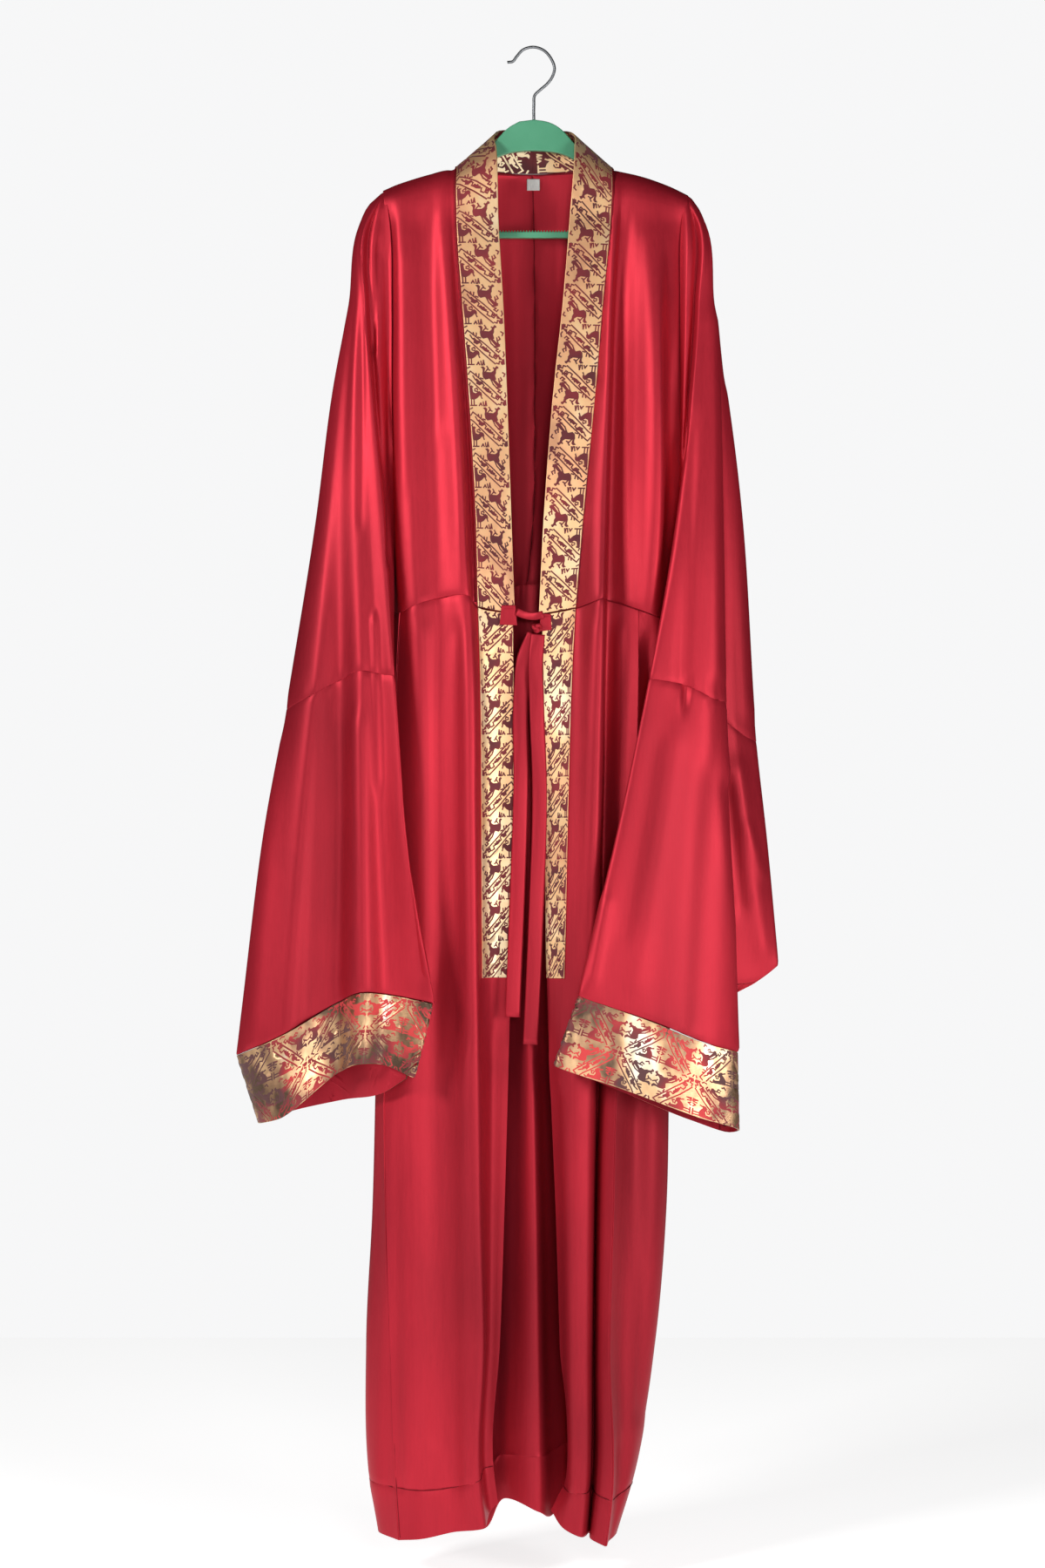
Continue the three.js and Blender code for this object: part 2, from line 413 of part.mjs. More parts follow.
function skirtPiece(name, cloth, count, facing, gaps) {
  const lines = [0, count];
  const body = inset(stretch(cloth, { lines, levels: [0, HEM_SEAM], rowStep: 75 }), { ...SEAM_ENDS, ...gaps });
  add("skirt_" + name, wall(body, CLOTH, { facing }), SATIN);
  const hem = inset(stretch(cloth, { lines, levels: [HEM_SEAM, HEM] }), { top: 3 * SEAM_GAP, ...gaps });
  add("hem_" + name, wall(hem, CLOTH, { facing }), SATIN);
}
skirtPiece("front_left", skirtLeft, 6, 1, { last: SEAM_GAP });
skirtPiece("front_right", skirtRight, 5, -1, { last: SEAM_GAP });
skirtPiece("back", skirtBack, 16, 1, { first: SEAM_GAP, last: SEAM_GAP });

// ---------------------------------------------------------------------------------------------- lower bands
// Each is a strip laid on a skirt front along its opening, from the waist down to the end of the sleeves.

const BAND_END = 3;
function lowerBand(name, cloth, lastLine, facing) {
  const grid = stretch(cloth, { lines: [0, lastLine], levels: [0, BAND_END], rowStep: 75 });
  const lift = CLOTH / 2 + LAID_GAP + STRIP / 2;
  add(name, wall(inset(grid, { first: 0.6 }), STRIP, { facing, lift }), BROCADE);
}
lowerBand("band_lower_left", skirtLeft, 2, 1);
lowerBand("band_lower_right", skirtRight, 1, -1);

// ---------------------------------------------------------------------------------------------- collar
// One band goes up the left front, round the neck and down the right front, with a seam at the middle of the
// back. Its outer line is sewn to the bodice, and its inner line stands up round the neck.
// Levels: 0 left waist, 4 left neck, 6 left shoulder, 9 middle of the back, 12 right shoulder, 18 right waist.

const collar = drape([
  {
    name: "seam",
    x: [-60, -62, -70, -77, -83, -83, -82, -68, -43, 0, 50, 74, 85, 86, 84, 76, 68, 54, 46],
    y: [-37, -32, -27, -24, -19, -11, 0, 10, 16.5, 21.5, 15.5, 9, 0, -11, -19, -25, -29, -36, -41],
    z: [-610.5, -517, -374, -279, -194, -137, -128.5, -129, -132, -133.5, -131.5, -130, -130, -139, -194, -279, -374, -517, -611.5],
  },
  {
    name: "inner edge",
    x: [-19.5, -23, -28, -32, -37, -40, -42, -36, -21, 1, 23, 38, 45, 45, 39, 32, 22, 11, 6],
    y: [-37.5, -35, -32, -29, -25, -15, -2, 8, 14.5, 18.5, 14.5, 8, -2, -15, -26, -31, -36, -41, -46],
    z: [-618, -517, -374, -279, -194, -108, -95, -88, -86, -86, -87, -89, -95, -110, -194, -279, -374, -517, -619],
  },
]);
const COLLAR_BACK = 9;
function collarHalf(name, levels, gaps) {
  const grid = inset(stretch(collar, { lines: [0, 1], levels, step: 25, rowStep: 60 }), gaps);
  add(name, wall(grid, BAND), BROCADE);
}
collarHalf("collar_left", [0, COLLAR_BACK], { bottom: SEAM_GAP });
collarHalf("collar_right", [COLLAR_BACK, 18], { top: SEAM_GAP });

// ---------------------------------------------------------------------------------------------- tie

const PATCH_THICKNESS = 1.2;

// A flat plate with its corners in order round it, from its back face to its front face.
function plate(corners, y, thickness) {
  const shape = new THREE.Shape(corners.map(([x, z]) => new THREE.Vector2(x, z)));
  const geometry = new THREE.ExtrudeGeometry(shape, { depth: thickness, bevelEnabled: false });
  return geometry.rotateX(Math.PI / 2).translate(0, y, 0);
}

// A ribbon through points down its middle, as wide as given across x, and as thick as given.
function ribbon(points, width, thickness) {
  const middle = new THREE.CatmullRomCurve3(points.map((p) => new THREE.Vector3(...p)));
  const rows = middle.getSpacedPoints(points.length * 3);
  const side = (p, i, half) => {
    const along = rows[Math.min(i + 1, rows.length - 1)].clone().sub(rows[Math.max(i - 1, 0)]);
    return p.clone().addScaledVector(new THREE.Vector3(along.z, 0, -along.x).normalize(), half);
  };
  return wall(rows.map((p, i) => [side(p, i, width / 2), side(p, i, -width / 2)]), thickness, { facing: -1 });
}

add("tie_patch_left", plate([[-34, -609], [-19, -609], [-17, -631], [-36, -630]], -39.2, PATCH_THICKNESS), SATIN);
add("tie_patch_right", plate([[8, -618], [19, -619], [20, -636], [7, -638]], -48.7, PATCH_THICKNESS), SATIN);
const bridge = [[-18, -41.6, -616], [-8, -45, -620], [2, -49.8, -621.5], [11, -51.6, -619.5]];
add("tie_bridge", ribbon(bridge, 8, 1.4), SATIN);
const knot = new THREE.SphereGeometry(1, 12, 8).scale(7, 5, 6.5).rotateY(0.3).translate(4, -54.2, -634);
add("tie_knot", knot, SATIN);
const leftTail = [[1.5, -53.2, -641], [-9, -51, -666], [-12.5, -49, -700], [-13, -48, -802], [-18, -48, -950], [-22, -48, -1053]];
add("tie_tail_left", ribbon(leftTail, 16, 1.2), SATIN);
const rightTail = [[5, -55.2, -641], [3, -56, -668], [4, -55, -720], [7, -54, -802], [3, -54, -950], [-3, -54, -1082]];
add("tie_tail_right", ribbon(rightTail, 15.5, 1.2), SATIN);

// ---------------------------------------------------------------------------------------------- neck label

add("neck_label", plate([[-6.5, -140], [7.5, -140], [7.5, -154], [-6.5, -154]], 20.0, 0.8), LABEL);

// ---------------------------------------------------------------------------------------------- hanger

const HANGER_DEPTH = 8;
const WIRE_RADIUS = 1.6;
const HOOK_SIDES = 10;

// The outside of the hanger's body, clockwise from the root of the hook, and the opening inside it.
const hangerOutside = [
  [1, -78], [17, -80], [30, -87], [40, -98], [47, -106], [62, -122], [87, -141], [115, -149], [134, -157],
  [154, -165], [166, -172], [172, -180], [173, -192], [170, -202], [164, -207], [-163, -207], [-169, -202],
  [-172, -192], [-170, -180], [-163, -171], [-150, -164], [-134, -157], [-112, -148], [-84, -140], [-60, -122],
  [-45, -106], [-38, -98], [-28, -87], [-15, -80],
];
const hangerInside = [
  [0, -111], [-30, -114], [-50, -126], [-84, -147], [-112, -159], [-150, -176], [-162, -186], [-163, -194],
  [-158, -199.5], [158, -199.5], [164, -194], [163, -186], [152, -176], [115, -160], [87, -148], [52, -126],
  [32, -114],
];
const hangerShape = new THREE.Shape(hangerOutside.map(([x, z]) => new THREE.Vector2(x, z)));
hangerShape.holes.push(new THREE.Path(hangerInside.map(([x, z]) => new THREE.Vector2(x, z))));
const hangerBody = new THREE.ExtrudeGeometry(hangerShape, { depth: HANGER_DEPTH, bevelEnabled: false });
add("hanger_body", hangerBody.rotateX(Math.PI / 2).translate(0, HANGER_DEPTH / 2, 0), GREEN);

// The wire rises from the body, bends to the right and goes over the peg to a small tip on the left.
const hookLine = new THREE.CatmullRomCurve3(
  [
    [1, -77.7], [1, -62], [2, -51], [8, -45], [15, -39], [21, -31], [23.5, -22], [19.5, -10.5], [11, -1.5],
    [0, WIRE_RADIUS], [-11, -1.5], [-18, -9], [-22, -14], [-28, -15],
  ].map(([x, z]) => new THREE.Vector3(x, 0, z)),
);
function rod(curve, radius, count, sides) {
  const { normals: normal, binormals } = curve.computeFrenetFrames(count);
  const rings = curve.getSpacedPoints(count);
  const positions = [];
  rings.forEach((p, i) => {
    for (let s = 0; s < sides; s++) {
      const turn = (2 * Math.PI * s) / sides;
      const q = p.clone().addScaledVector(normal[i], radius * Math.cos(turn));
      positions.push(...q.addScaledVector(binormals[i], radius * Math.sin(turn)));
    }
  });
  positions.push(...rings[0], ...rings[count]);
  const index = [];
  for (let s = 0; s < sides; s++) {
    const t = (s + 1) % sides;
    for (let i = 0; i < count; i++) {
      const [a, b, c, d] = [i * sides + s, i * sides + t, (i + 1) * sides + t, (i + 1) * sides + s];
      index.push(a, b, c, a, c, d);
    }
    index.push(rings.length * sides, t, s, rings.length * sides + 1, count * sides + s, count * sides + t);
  }
  const geometry = new THREE.BufferGeometry();
  geometry.setAttribute("position", new THREE.Float32BufferAttribute(positions, 3));
  return geometry.setIndex(index);
}
add("hanger_hook", rod(hookLine, WIRE_RADIUS, 40, HOOK_SIDES), STEEL);

export default robe;
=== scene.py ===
import math

import bpy
import numpy as np
from mathutils import Matrix, Vector, geometry


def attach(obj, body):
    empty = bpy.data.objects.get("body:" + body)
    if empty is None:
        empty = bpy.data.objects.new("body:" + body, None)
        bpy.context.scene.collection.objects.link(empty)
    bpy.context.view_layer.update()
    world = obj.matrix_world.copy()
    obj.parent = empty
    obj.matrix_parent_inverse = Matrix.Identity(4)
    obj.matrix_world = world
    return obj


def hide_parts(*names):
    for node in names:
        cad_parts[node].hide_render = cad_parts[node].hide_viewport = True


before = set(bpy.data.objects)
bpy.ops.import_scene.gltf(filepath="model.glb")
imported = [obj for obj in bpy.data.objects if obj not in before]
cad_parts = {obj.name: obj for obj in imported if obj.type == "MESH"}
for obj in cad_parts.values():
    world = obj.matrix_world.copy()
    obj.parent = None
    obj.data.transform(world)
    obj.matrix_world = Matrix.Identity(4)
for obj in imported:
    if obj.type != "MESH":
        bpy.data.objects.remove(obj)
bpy.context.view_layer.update()  # everything below is in metres, in the frame of the CAD
MM = 0.001

# ------------------------------------------------------------------------------------- hanger body
# The hanger is one moulding of green polypropylene: an arched yoke, two sloping arms and a bar with
# fine teeth along its top, so that trousers do not slide. Its edges are rounded for the mould.


class Socket:
    """An output of a shader node. Arithmetic on it adds Math nodes."""

    def __init__(self, shader, output):
        self.shader, self.output = shader, output

    def math(self, operation, first, second):
        return self.shader.node("ShaderNodeMath", {"operation": operation}, {0: first, 1: second})

    def __add__(self, other):
        return self.math("ADD", self, other)

    def __mul__(self, other):
        return self.math("MULTIPLY", self, other)

    __radd__ = __add__
    __rmul__ = __mul__


class Nodes:
    """A tree of shader nodes, which are added one by one."""

    def __init__(self, tree):
        self.tree = tree

    def node(self, kind, settings=None, inputs=None, output=0):
        """Add a node: its settings first, then the values or links of its sockets."""
        made = self.tree.nodes.new(kind)
        for key, value in (settings or {}).items():
            if key == "stops":
                ramp = made.color_ramp.elements
                while len(ramp) < len(value):
                    ramp.new(1.0)
                for stop, (place, colour) in zip(ramp, value):
                    stop.position, stop.color = place, (*colour, 1.0)
            else:
                setattr(made, key, value)
        for key, value in (inputs or {}).items():
            self.feed(made.inputs[key], value)
        return Socket(self, made.outputs[output])

    def feed(self, socket, value):
        if isinstance(value, Socket):
            self.tree.links.new(value.output, socket)
        else:
            socket.default_value = value


class Finish(Nodes):
    """A material with one Principled surface, whose steady values are given by name."""

    def __init__(self, name, **steady):
        self.material = bpy.data.materials.new(name)
        self.material.use_nodes = True
        super().__init__(self.material.node_tree)
        self.surface = self.tree.nodes["Principled BSDF"]
        for words, value in steady.items():
            self.surface.inputs[words.replace("_", " ")].default_value = value

    def place(self, *stretch):
        """Where the point lies on the object, in metres, stretched along each axis."""
        here = self.node("ShaderNodeTexCoord", output="Object")
        settings = {"operation": "MULTIPLY"}
        return self.node("ShaderNodeVectorMath", settings, {0: here, 1: stretch}) if stretch else here

    def noise(self, scale, detail=2.0, stretch=(), roughness=0.5):
        inputs = {"Vector": self.place(*stretch), "Scale": scale, "Detail": detail, "Roughness": roughness}
        return self.node("ShaderNodeTexNoise", {}, inputs)

    def shades(self, value, stops):
        return self.node("ShaderNodeValToRGB", {"stops": stops}, {"Fac": value})

    def bump(self, height, strength, distance):
        inputs = {"Height": height, "Strength": strength, "Distance": distance}
        self.set(Normal=self.node("ShaderNodeBump", {}, inputs))

    def set(self, **links):
        for words, value in links.items():
            self.feed(self.surface.inputs[words.replace("_", " ")], value)


def moulded_plastic():
    green = Finish("hanger_green", IOR=1.49, Specular_IOR_Level=0.5, Subsurface_Weight=0.0)
    cloudy = green.noise(18.0, 4.0)
    green.set(Base_Color=green.shades(cloudy, [(0.3, (0.075, 0.33, 0.18)), (0.7, (0.11, 0.40, 0.23))]))
    green.set(Roughness=0.3 + 0.15 * green.noise(240.0))
    green.bump(green.noise(900.0, 3.0), 0.25, 0.0004)
    return green.material


def hold(piece, *nodes, slot):
    """Let a finished piece stand for its CAD nodes, which are hidden. slot is not used."""
    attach(piece, "root")
    if nodes:
        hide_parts(*nodes)
    return piece


def as_mesh(curve_object):
    """Turn a curve object into a mesh object of the same name."""
    name = curve_object.name
    curve_object.name = name + "_curve"
    bpy.context.view_layer.update()
    mesh = bpy.data.meshes.new_from_object(curve_object.evaluated_get(bpy.context.evaluated_depsgraph_get()))
    bpy.data.objects.remove(curve_object)
    piece = bpy.data.objects.new(name, mesh)
    bpy.context.collection.objects.link(piece)
    return piece


HANGER_DEPTH = 8.0
HANGER_EDGE = 1.2  # radius of the moulded edges
TOOTH_PITCH = 3.2
TOOTH_HEIGHT = 2.2
BAR_TOP = -200.4
TOOTHED_HALF = 152  # the teeth reach this far to each side of the middle
hanger_outside = [
    (1, -78), (17, -80), (30, -87), (40, -98), (47, -106), (62, -122), (87, -141), (115, -149), (134, -157),
    (154, -165), (166, -172), (172, -180), (173, -192), (170, -202), (164, -207), (-163, -207), (-169, -202),
    (-172, -192), (-170, -180), (-163, -171), (-150, -164), (-134, -157), (-112, -148), (-84, -140),
    (-60, -122), (-45, -106), (-38, -98), (-28, -87), (-15, -80),
]
hanger_inside = [
    (158, BAR_TOP), (164, -194), (163, -186), (152, -176), (115, -160), (87, -148), (52, -126), (32, -114),
    (0, -111), (-30, -114), (-50, -126), (-84, -147), (-112, -159), (-150, -176), (-162, -186), (-163, -194),
    (-158, BAR_TOP),
]


def rounded(outline):
    """An outline with its corners rounded: each is cut twice at a quarter of its sides. Its ends stay."""
    points = np.array(outline, float)
    for _ in range(2):
        here, after = points[:-1], points[1:]
        cut = np.stack([0.75 * here + 0.25 * after, 0.25 * here + 0.75 * after], axis=1).reshape(-1, 2)
        points = np.concatenate([points[:1], cut, points[-1:]])
    return [tuple(p) for p in points]


teeth = []
for tooth in range(round(2 * TOOTHED_HALF / TOOTH_PITCH)):
    x = -TOOTHED_HALF + tooth * TOOTH_PITCH
    tip, foot = x + 0.35 * TOOTH_PITCH, x + 0.65 * TOOTH_PITCH
    teeth += [(x, BAR_TOP), (tip, BAR_TOP + TOOTH_HEIGHT), (foot, BAR_TOP)]
hanger_curve = bpy.data.curves.new("hanger_outline", "CURVE")
hanger_curve.dimensions = "2D"
hanger_curve.fill_mode = "BOTH"
hanger_curve.extrude = (HANGER_DEPTH / 2 - HANGER_EDGE) * MM
hanger_curve.bevel_depth = HANGER_EDGE * MM
hanger_curve.bevel_resolution = 3
hanger_curve.offset = -HANGER_EDGE * MM
for outline in (rounded(hanger_outside), rounded(hanger_inside) + teeth):
    spline = hanger_curve.splines.new("POLY")
    spline.points.add(len(outline) - 1)
    for point, (x, z) in zip(spline.points, outline):
        point.co = (x * MM, z * MM, 0, 1)
    spline.use_cyclic_u = True
hanger_body = bpy.data.objects.new("green_hanger_body", hanger_curve)
bpy.context.collection.objects.link(hanger_body)
hanger_body = as_mesh(hanger_body)
hanger_body.data.transform(Matrix.Rotation(math.pi / 2, 4, "X"))
hanger_body.data.materials.clear()
hanger_body.data.materials.append(moulded_plastic())
hold(hanger_body, "hanger_body", slot="plastic")

# ------------------------------------------------------------------------------------- hanger hook
# The hook is one length of bright plated steel wire, 3.2 mm thick, moulded into the yoke. It bends out
# to the right and goes over the peg, and its free end is turned out a little on the left.

WIRE_RADIUS = 1.6
hook_route = [
    (1, -80), (1, -62), (2, -51), (8, -45), (15, -39), (21, -31), (23.5, -22), (19.5, -10.5), (11, -1.5),
    (0, WIRE_RADIUS), (-11, -1.5), (-18, -9), (-22, -14), (-28, -15),
]


def plated_steel():
    steel = Finish("hook_steel", Metallic=1.0)
    drawn = steel.noise(60.0, 3.0, stretch=(1, 1, 14))
    steel.set(Base_Color=steel.shades(drawn, [(0.3, (0.20, 0.21, 0.22)), (0.8, (0.36, 0.37, 0.39))]))
    steel.set(Roughness=0.38 + 0.16 * drawn)
    steel.bump(steel.noise(700.0, 2.0), 0.12, 0.0002)
    return steel.material


def smooth(points, places):
    """Points on smooth curves. points holds one row of control points for each of the places."""
    last = points.shape[1] - 1
    k = np.clip(np.floor(places).astype(int), 0, last - 1)
    t = (places - k)[:, None]
    row = np.arange(len(places))
    b, c = points[row, k], points[row, k + 1]
    a = np.where((k > 0)[:, None], points[row, np.maximum(k - 1, 0)], 2 * b - c)
    d = np.where((k + 1 < last)[:, None], points[row, np.minimum(k + 2, last)], 2 * c - b)
    spans = ((a, b), (b, c), (c, d))
    before, gap, after = (np.linalg.norm(q - p, axis=1, keepdims=True) + 1e-9 for p, q in spans)
    start = ((b - a) / before * gap + (c - b) / gap * before) / (before + gap) * gap
    end = ((c - b) / gap * after + (d - c) / after * gap) / (gap + after) * gap
    t2, t3 = t * t, t**3
    return (2 * t3 - 3 * t2 + 1) * b + (t3 - 2 * t2 + t) * start + (3 * t2 - 2 * t3) * c + (t3 - t2) * end


def route(points, count):
    """count + 1 points along the smooth curve through these points."""
    points = np.array(points, float)
    places = np.linspace(0, len(points) - 1, count + 1)
    return smooth(np.broadcast_to(points, (len(places), *points.shape)), places)


def cord(name, points, radius, material):
    """A round cord or wire through points in mm, capped at both ends."""
    line = bpy.data.curves.new(name, "CURVE")
    line.dimensions = "3D"
    line.bevel_depth = radius * MM
    line.bevel_resolution = 4
    line.use_fill_caps = True
    spline = line.splines.new("POLY")
    spline.points.add(len(points) - 1)
    for point, co in zip(spline.points, points):
        point.co = (*(co * MM), 1)
    piece = bpy.data.objects.new(name, line)
    bpy.context.collection.objects.link(piece)
    piece = as_mesh(piece)
    piece.data.materials.clear()
    piece.data.materials.append(material)
    piece.data.polygons.foreach_set("use_smooth", [True] * len(piece.data.polygons))
    return piece


HOOK_STEPS = 140
hook_points = route([(x, 0, z) for x, z in hook_route], HOOK_STEPS)
hold(cord("steel_hanger_hook", hook_points, WIRE_RADIUS, plated_steel()), "hanger_hook", slot="steel")

# ------------------------------------------------------------------------------------- bodice
# The bodice is polyester satin, cut as two fronts and two backs with a seam down the middle of the
# back. It lies over the hanger's arms, and the cloth below falls in soft upright folds.

CLOTH = 1.3  # one layer with its seam allowances
SEAM_LAP = -0.4  # seams close up: each piece runs this far under its neighbour
EDGE_SHARE = 0.14  # the narrow row along each edge, as a share of the mesh's first step
SEAM_DIP = 0.7  # the cloth turns in this much at a seam
DIP_REACH = 1.4  # and comes out again over about this distance
GATHER_WAVES = 4  # waves of uneven length that make up the gathers beside a seam
CREASE_FADE = 1.6  # a crease fades out beyond its ends over about this many widths
WEAVE_STEP = 4.5  # spacing of the mesh across the cloth
FALL_STEP = 9.0  # and down it


def satin(name, painted_shade=1.0):
    """Crimson satin: long floats of smooth thread, with faint slubs and handling marks, and broad upright
    streaks of painted light and shade in its colour. A shade factor below 1 darkens the whole colour, which
    paints shade.
    """
    red = Finish(name, Metallic=0.48, Specular_IOR_Level=0.2, IOR=1.5)
    slub = red.noise(420.0, 3.0, stretch=(1, 1, 0.08), roughness=0.6)
    # The broad noise is painted light and shade: long upright streaks, lighter and darker, as soft folds
    # would give. The slubs are the thread's own.
    broad = red.noise(5.0, 3.0, stretch=(1, 1, 0.35))
    painted_shade_and_slubs = broad * 0.9 + slub * 0.1
    tones_with_painted_shade = [(0.34, (0.33, 0.014, 0.026)), (0.5, (0.48, 0.020, 0.037)), (0.66, (0.62, 0.027, 0.048))]
    tones_with_painted_shade = [(stop, tuple(painted_shade * value for value in colour)) for stop, colour in tones_with_painted_shade]
    red.set(Base_Color=red.shades(painted_shade_and_slubs, tones_with_painted_shade))
    red.set(Roughness=0.42 + 0.1 * slub)
    red.bump(slub * 0.15 + red.noise(60.0, 4.0) * 0.85, 0.25, 0.0009)
    return red.material


def net(lines):
    """The control points of some fold lines, as (line, level, xyz)."""
    return np.array([np.stack([line[axis] for axis in "xyz"], axis=1) for line in lines], float)


def on_cloth(lines, line, level):
    """Points of the cloth through these fold lines, at each pair of a line and a level."""
    rows = [smooth(np.broadcast_to(points, (len(level), *points.shape)), level) for points in lines]
    return smooth(np.stack(rows, axis=1), line)


def places(start, end, lengths, step):
    """Where a stretch of cloth is sampled: at whole numbers, and evenly in between."""
    marks = sorted({start, end, *range(math.ceil(start), math.floor(end) + 1)})
    found = [start]
    for low, high in zip(marks, marks[1:]):
        count = max(1, round((high - low) * lengths[min(int(low), len(lengths) - 1)] / step))
        found += list(low + (high - low) * (np.arange(count) + 1) / count)
    return np.array(found, float)


def stretch(lines, across, down, step=WEAVE_STEP, fall=FALL_STEP):
    """A grid of points, (row, column, xyz), on a stretch of cloth."""
    widths = np.linalg.norm(lines[1:] - lines[:-1], axis=2).max(axis=1)
    lengths = np.linalg.norm(lines[:, 1:] - lines[:, :-1], axis=2).max(axis=0)
    columns = places(*across, widths, step)
    rows = places(*down, lengths, fall)
    level, line = (m.ravel() for m in np.meshgrid(rows, columns, indexing="ij"))
    return on_cloth(lines, line, level).reshape(len(rows), len(columns), 3)


def inset(grid, top=0.0, bottom=0.0, first=0.0, last=0.0):
    """Pull the grid's outer points in, which leaves the gaps at the seams."""
    def pull(edge, inner, amount):
        way = inner - edge
        edge += way / (np.linalg.norm(way, axis=-1, keepdims=True) + 1e-9) * amount

    pull(grid[0], grid[1].copy(), top)
    pull(grid[-1], grid[-2].copy(), bottom)
    pull(grid[:, 0], grid[:, 1].copy(), first)
    pull(grid[:, -1], grid[:, -2].copy(), last)
    return grid


def edged(grid):
    """Add a narrow row inside each side, which keeps the cloth's edges crisp."""
    for axis in (0, 1):
        ends = []
        for edge, inner in ((0, 1), (-1, -2)):
            edge, inner = grid.take([edge], axis), grid.take([inner], axis)
            ends.append([edge, edge + (inner - edge) * EDGE_SHARE])
        middle = grid.take(range(1, grid.shape[axis] - 1), axis)
        grid = np.concatenate([*ends[0], middle, *ends[1][::-1]], axis=axis)
    return grid


def normals_of(grid):
    padded = np.pad(grid, ((1, 1), (1, 1), (0, 0)), mode="edge")
    right = padded[1:-1, 2:] - padded[1:-1, :-2]
    down = padded[2:, 1:-1] - padded[:-2, 1:-1]
    normal = np.cross(right, down)
    return normal / (np.linalg.norm(normal, axis=2, keepdims=True) + 1e-12)


def crease(grid, marks, facing):
    """Press the listed creases into the cloth. A mark is x0, z0, x1, z1, width and height, in mm."""
    height = np.zeros(grid.shape[:2])
    for x0, z0, x1, z1, width, rise in marks:
        way = np.array([x1 - x0, z1 - z0], float)
        length = np.linalg.norm(way)
        here = grid[..., [0, 2]] - (x0, z0)
        along = here @ way / length
        off = (here[..., 0] * way[1] - here[..., 1] * way[0]) / length
        beyond = np.maximum(np.maximum(-along, along - length), 0) / (CREASE_FADE * width)
        height += rise * np.exp(-((off / width) ** 2) - beyond**2)
    return grid + normals_of(grid) * (facing * height)[..., None]


def pucker(grid, edges, rng, facing, height=0.22, reach=7.0):
    """The small uneven gathers that sewing leaves beside a seam, along the named edges of a piece."""
    rows, columns = grid.shape[:2]
    rise = np.zeros((rows, columns))
    for edge in edges:
        count = columns if edge in ("top", "bottom") else rows
        waves = np.zeros(count)
        for _ in range(GATHER_WAVES):
            size, turn, start = rng.uniform(0.4, 1.0), rng.uniform(0.5, 1.6), rng.uniform(0, 6.3)
            waves = waves + size * np.sin(np.arange(count) * turn + start)
        line = {"top": grid[0], "bottom": grid[-1], "first": grid[:, 0], "last": grid[:, -1]}[edge]
        if edge in ("top", "bottom"):
            away, waves = np.linalg.norm(grid - line[None], axis=2), waves[None]
        else:
            away, waves = np.linalg.norm(grid - line[:, None], axis=2), waves[:, None]
        rise += height * waves * np.exp(-away / reach) * (away > 0.1) - SEAM_DIP * np.exp(-away / DIP_REACH)
    return grid + normals_of(grid) * (facing * rise)[..., None]


def shell(name, grid, thickness, facing, material):
    """A thin closed shell of cloth on a grid of points in mm."""
    rows, columns = grid.shape[:2]
    normal = normals_of(grid) * facing
    sides = [grid + normal * (side * thickness / 2) for side in (1, -1)]
    points = np.concatenate([side.reshape(-1, 3) for side in sides]) * MM
    index = np.arange(rows * columns).reshape(rows, columns)
    a, b, c, d = index[:-1, :-1], index[:-1, 1:], index[1:, 1:], index[1:, :-1]
    outer = np.stack([a, b, c, d], axis=-1).reshape(-1, 4)
    inner = outer[:, ::-1] + rows * columns
    rim = np.concatenate([index[0, ::-1], index[1:, 0], index[-1, 1:], index[-2:0:-1, -1]])
    after = np.roll(rim, -1)
    edge = np.stack([rim, after, after + rows * columns, rim + rows * columns], axis=1)
    faces = np.concatenate([outer, inner, edge])
    if facing < 0:
        faces = faces[:, ::-1]
    mesh = bpy.data.meshes.new(name)
    mesh.from_pydata(points.tolist(), [], faces.tolist())
    mesh.polygons.foreach_set("use_smooth", [True] * (2 * len(outer)) + [False] * len(edge))
    mesh.materials.append(material)
    piece = bpy.data.objects.new(name, mesh)
    bpy.context.collection.objects.link(piece)
    return piece


random_folds = np.random.default_rng(7)

ROLL = 8  # the roll over the hanger's arm ends this far under the ridge
CHEST_LEVELS = [-194, -279, -374, -517]


def bodice_line(name, ridge, waist, x, y):
    """A fold line at the ridge, roll, neck, upper chest, chest, under the arm, and the waist seam."""
    return {"x": x, "y": y, "z": [ridge, ridge - ROLL, *CHEST_LEVELS, waist]}


front_left = net([
    bodice_line("band seam", -131, -611, [-84, -84, -83, -77, -70, -62, -60],
        [-1, -11, -19, -24, -27, -32, -36]),
    bodice_line("groove", -133, -606, [-88, -88, -87, -82, -74, -66, -64],
        [-1, -11, -18, -21, -23, -27, -36]),
    bodice_line("crest", -133, -599, [-93, -93, -92, -88, -82, -74, -70],
        [-1, -11, -20, -29, -35, -43, -46]),
    bodice_line("dip", -137.5, -601, [-112, -112, -111, -110, -108, -104, -102],
        [-1, -11, -17, -21, -25, -32, -38]),
    bodice_line("ridge", -144, -609, [-134, -134, -134, -133, -132, -130, -128],
        [-1, -11, -18, -24, -30, -37, -41]),
    bodice_line("side", -149.5, -616, [-150, -149, -147, -146, -146, -145, -143],
        [-1, -11, -17, -22, -27, -30, -31]),
    bodice_line("armhole", -153, -619, [-158, -157, -154, -152, -152, -151, -150],
        [-1, -11, -12, -11, -11, -11, -6]),
])
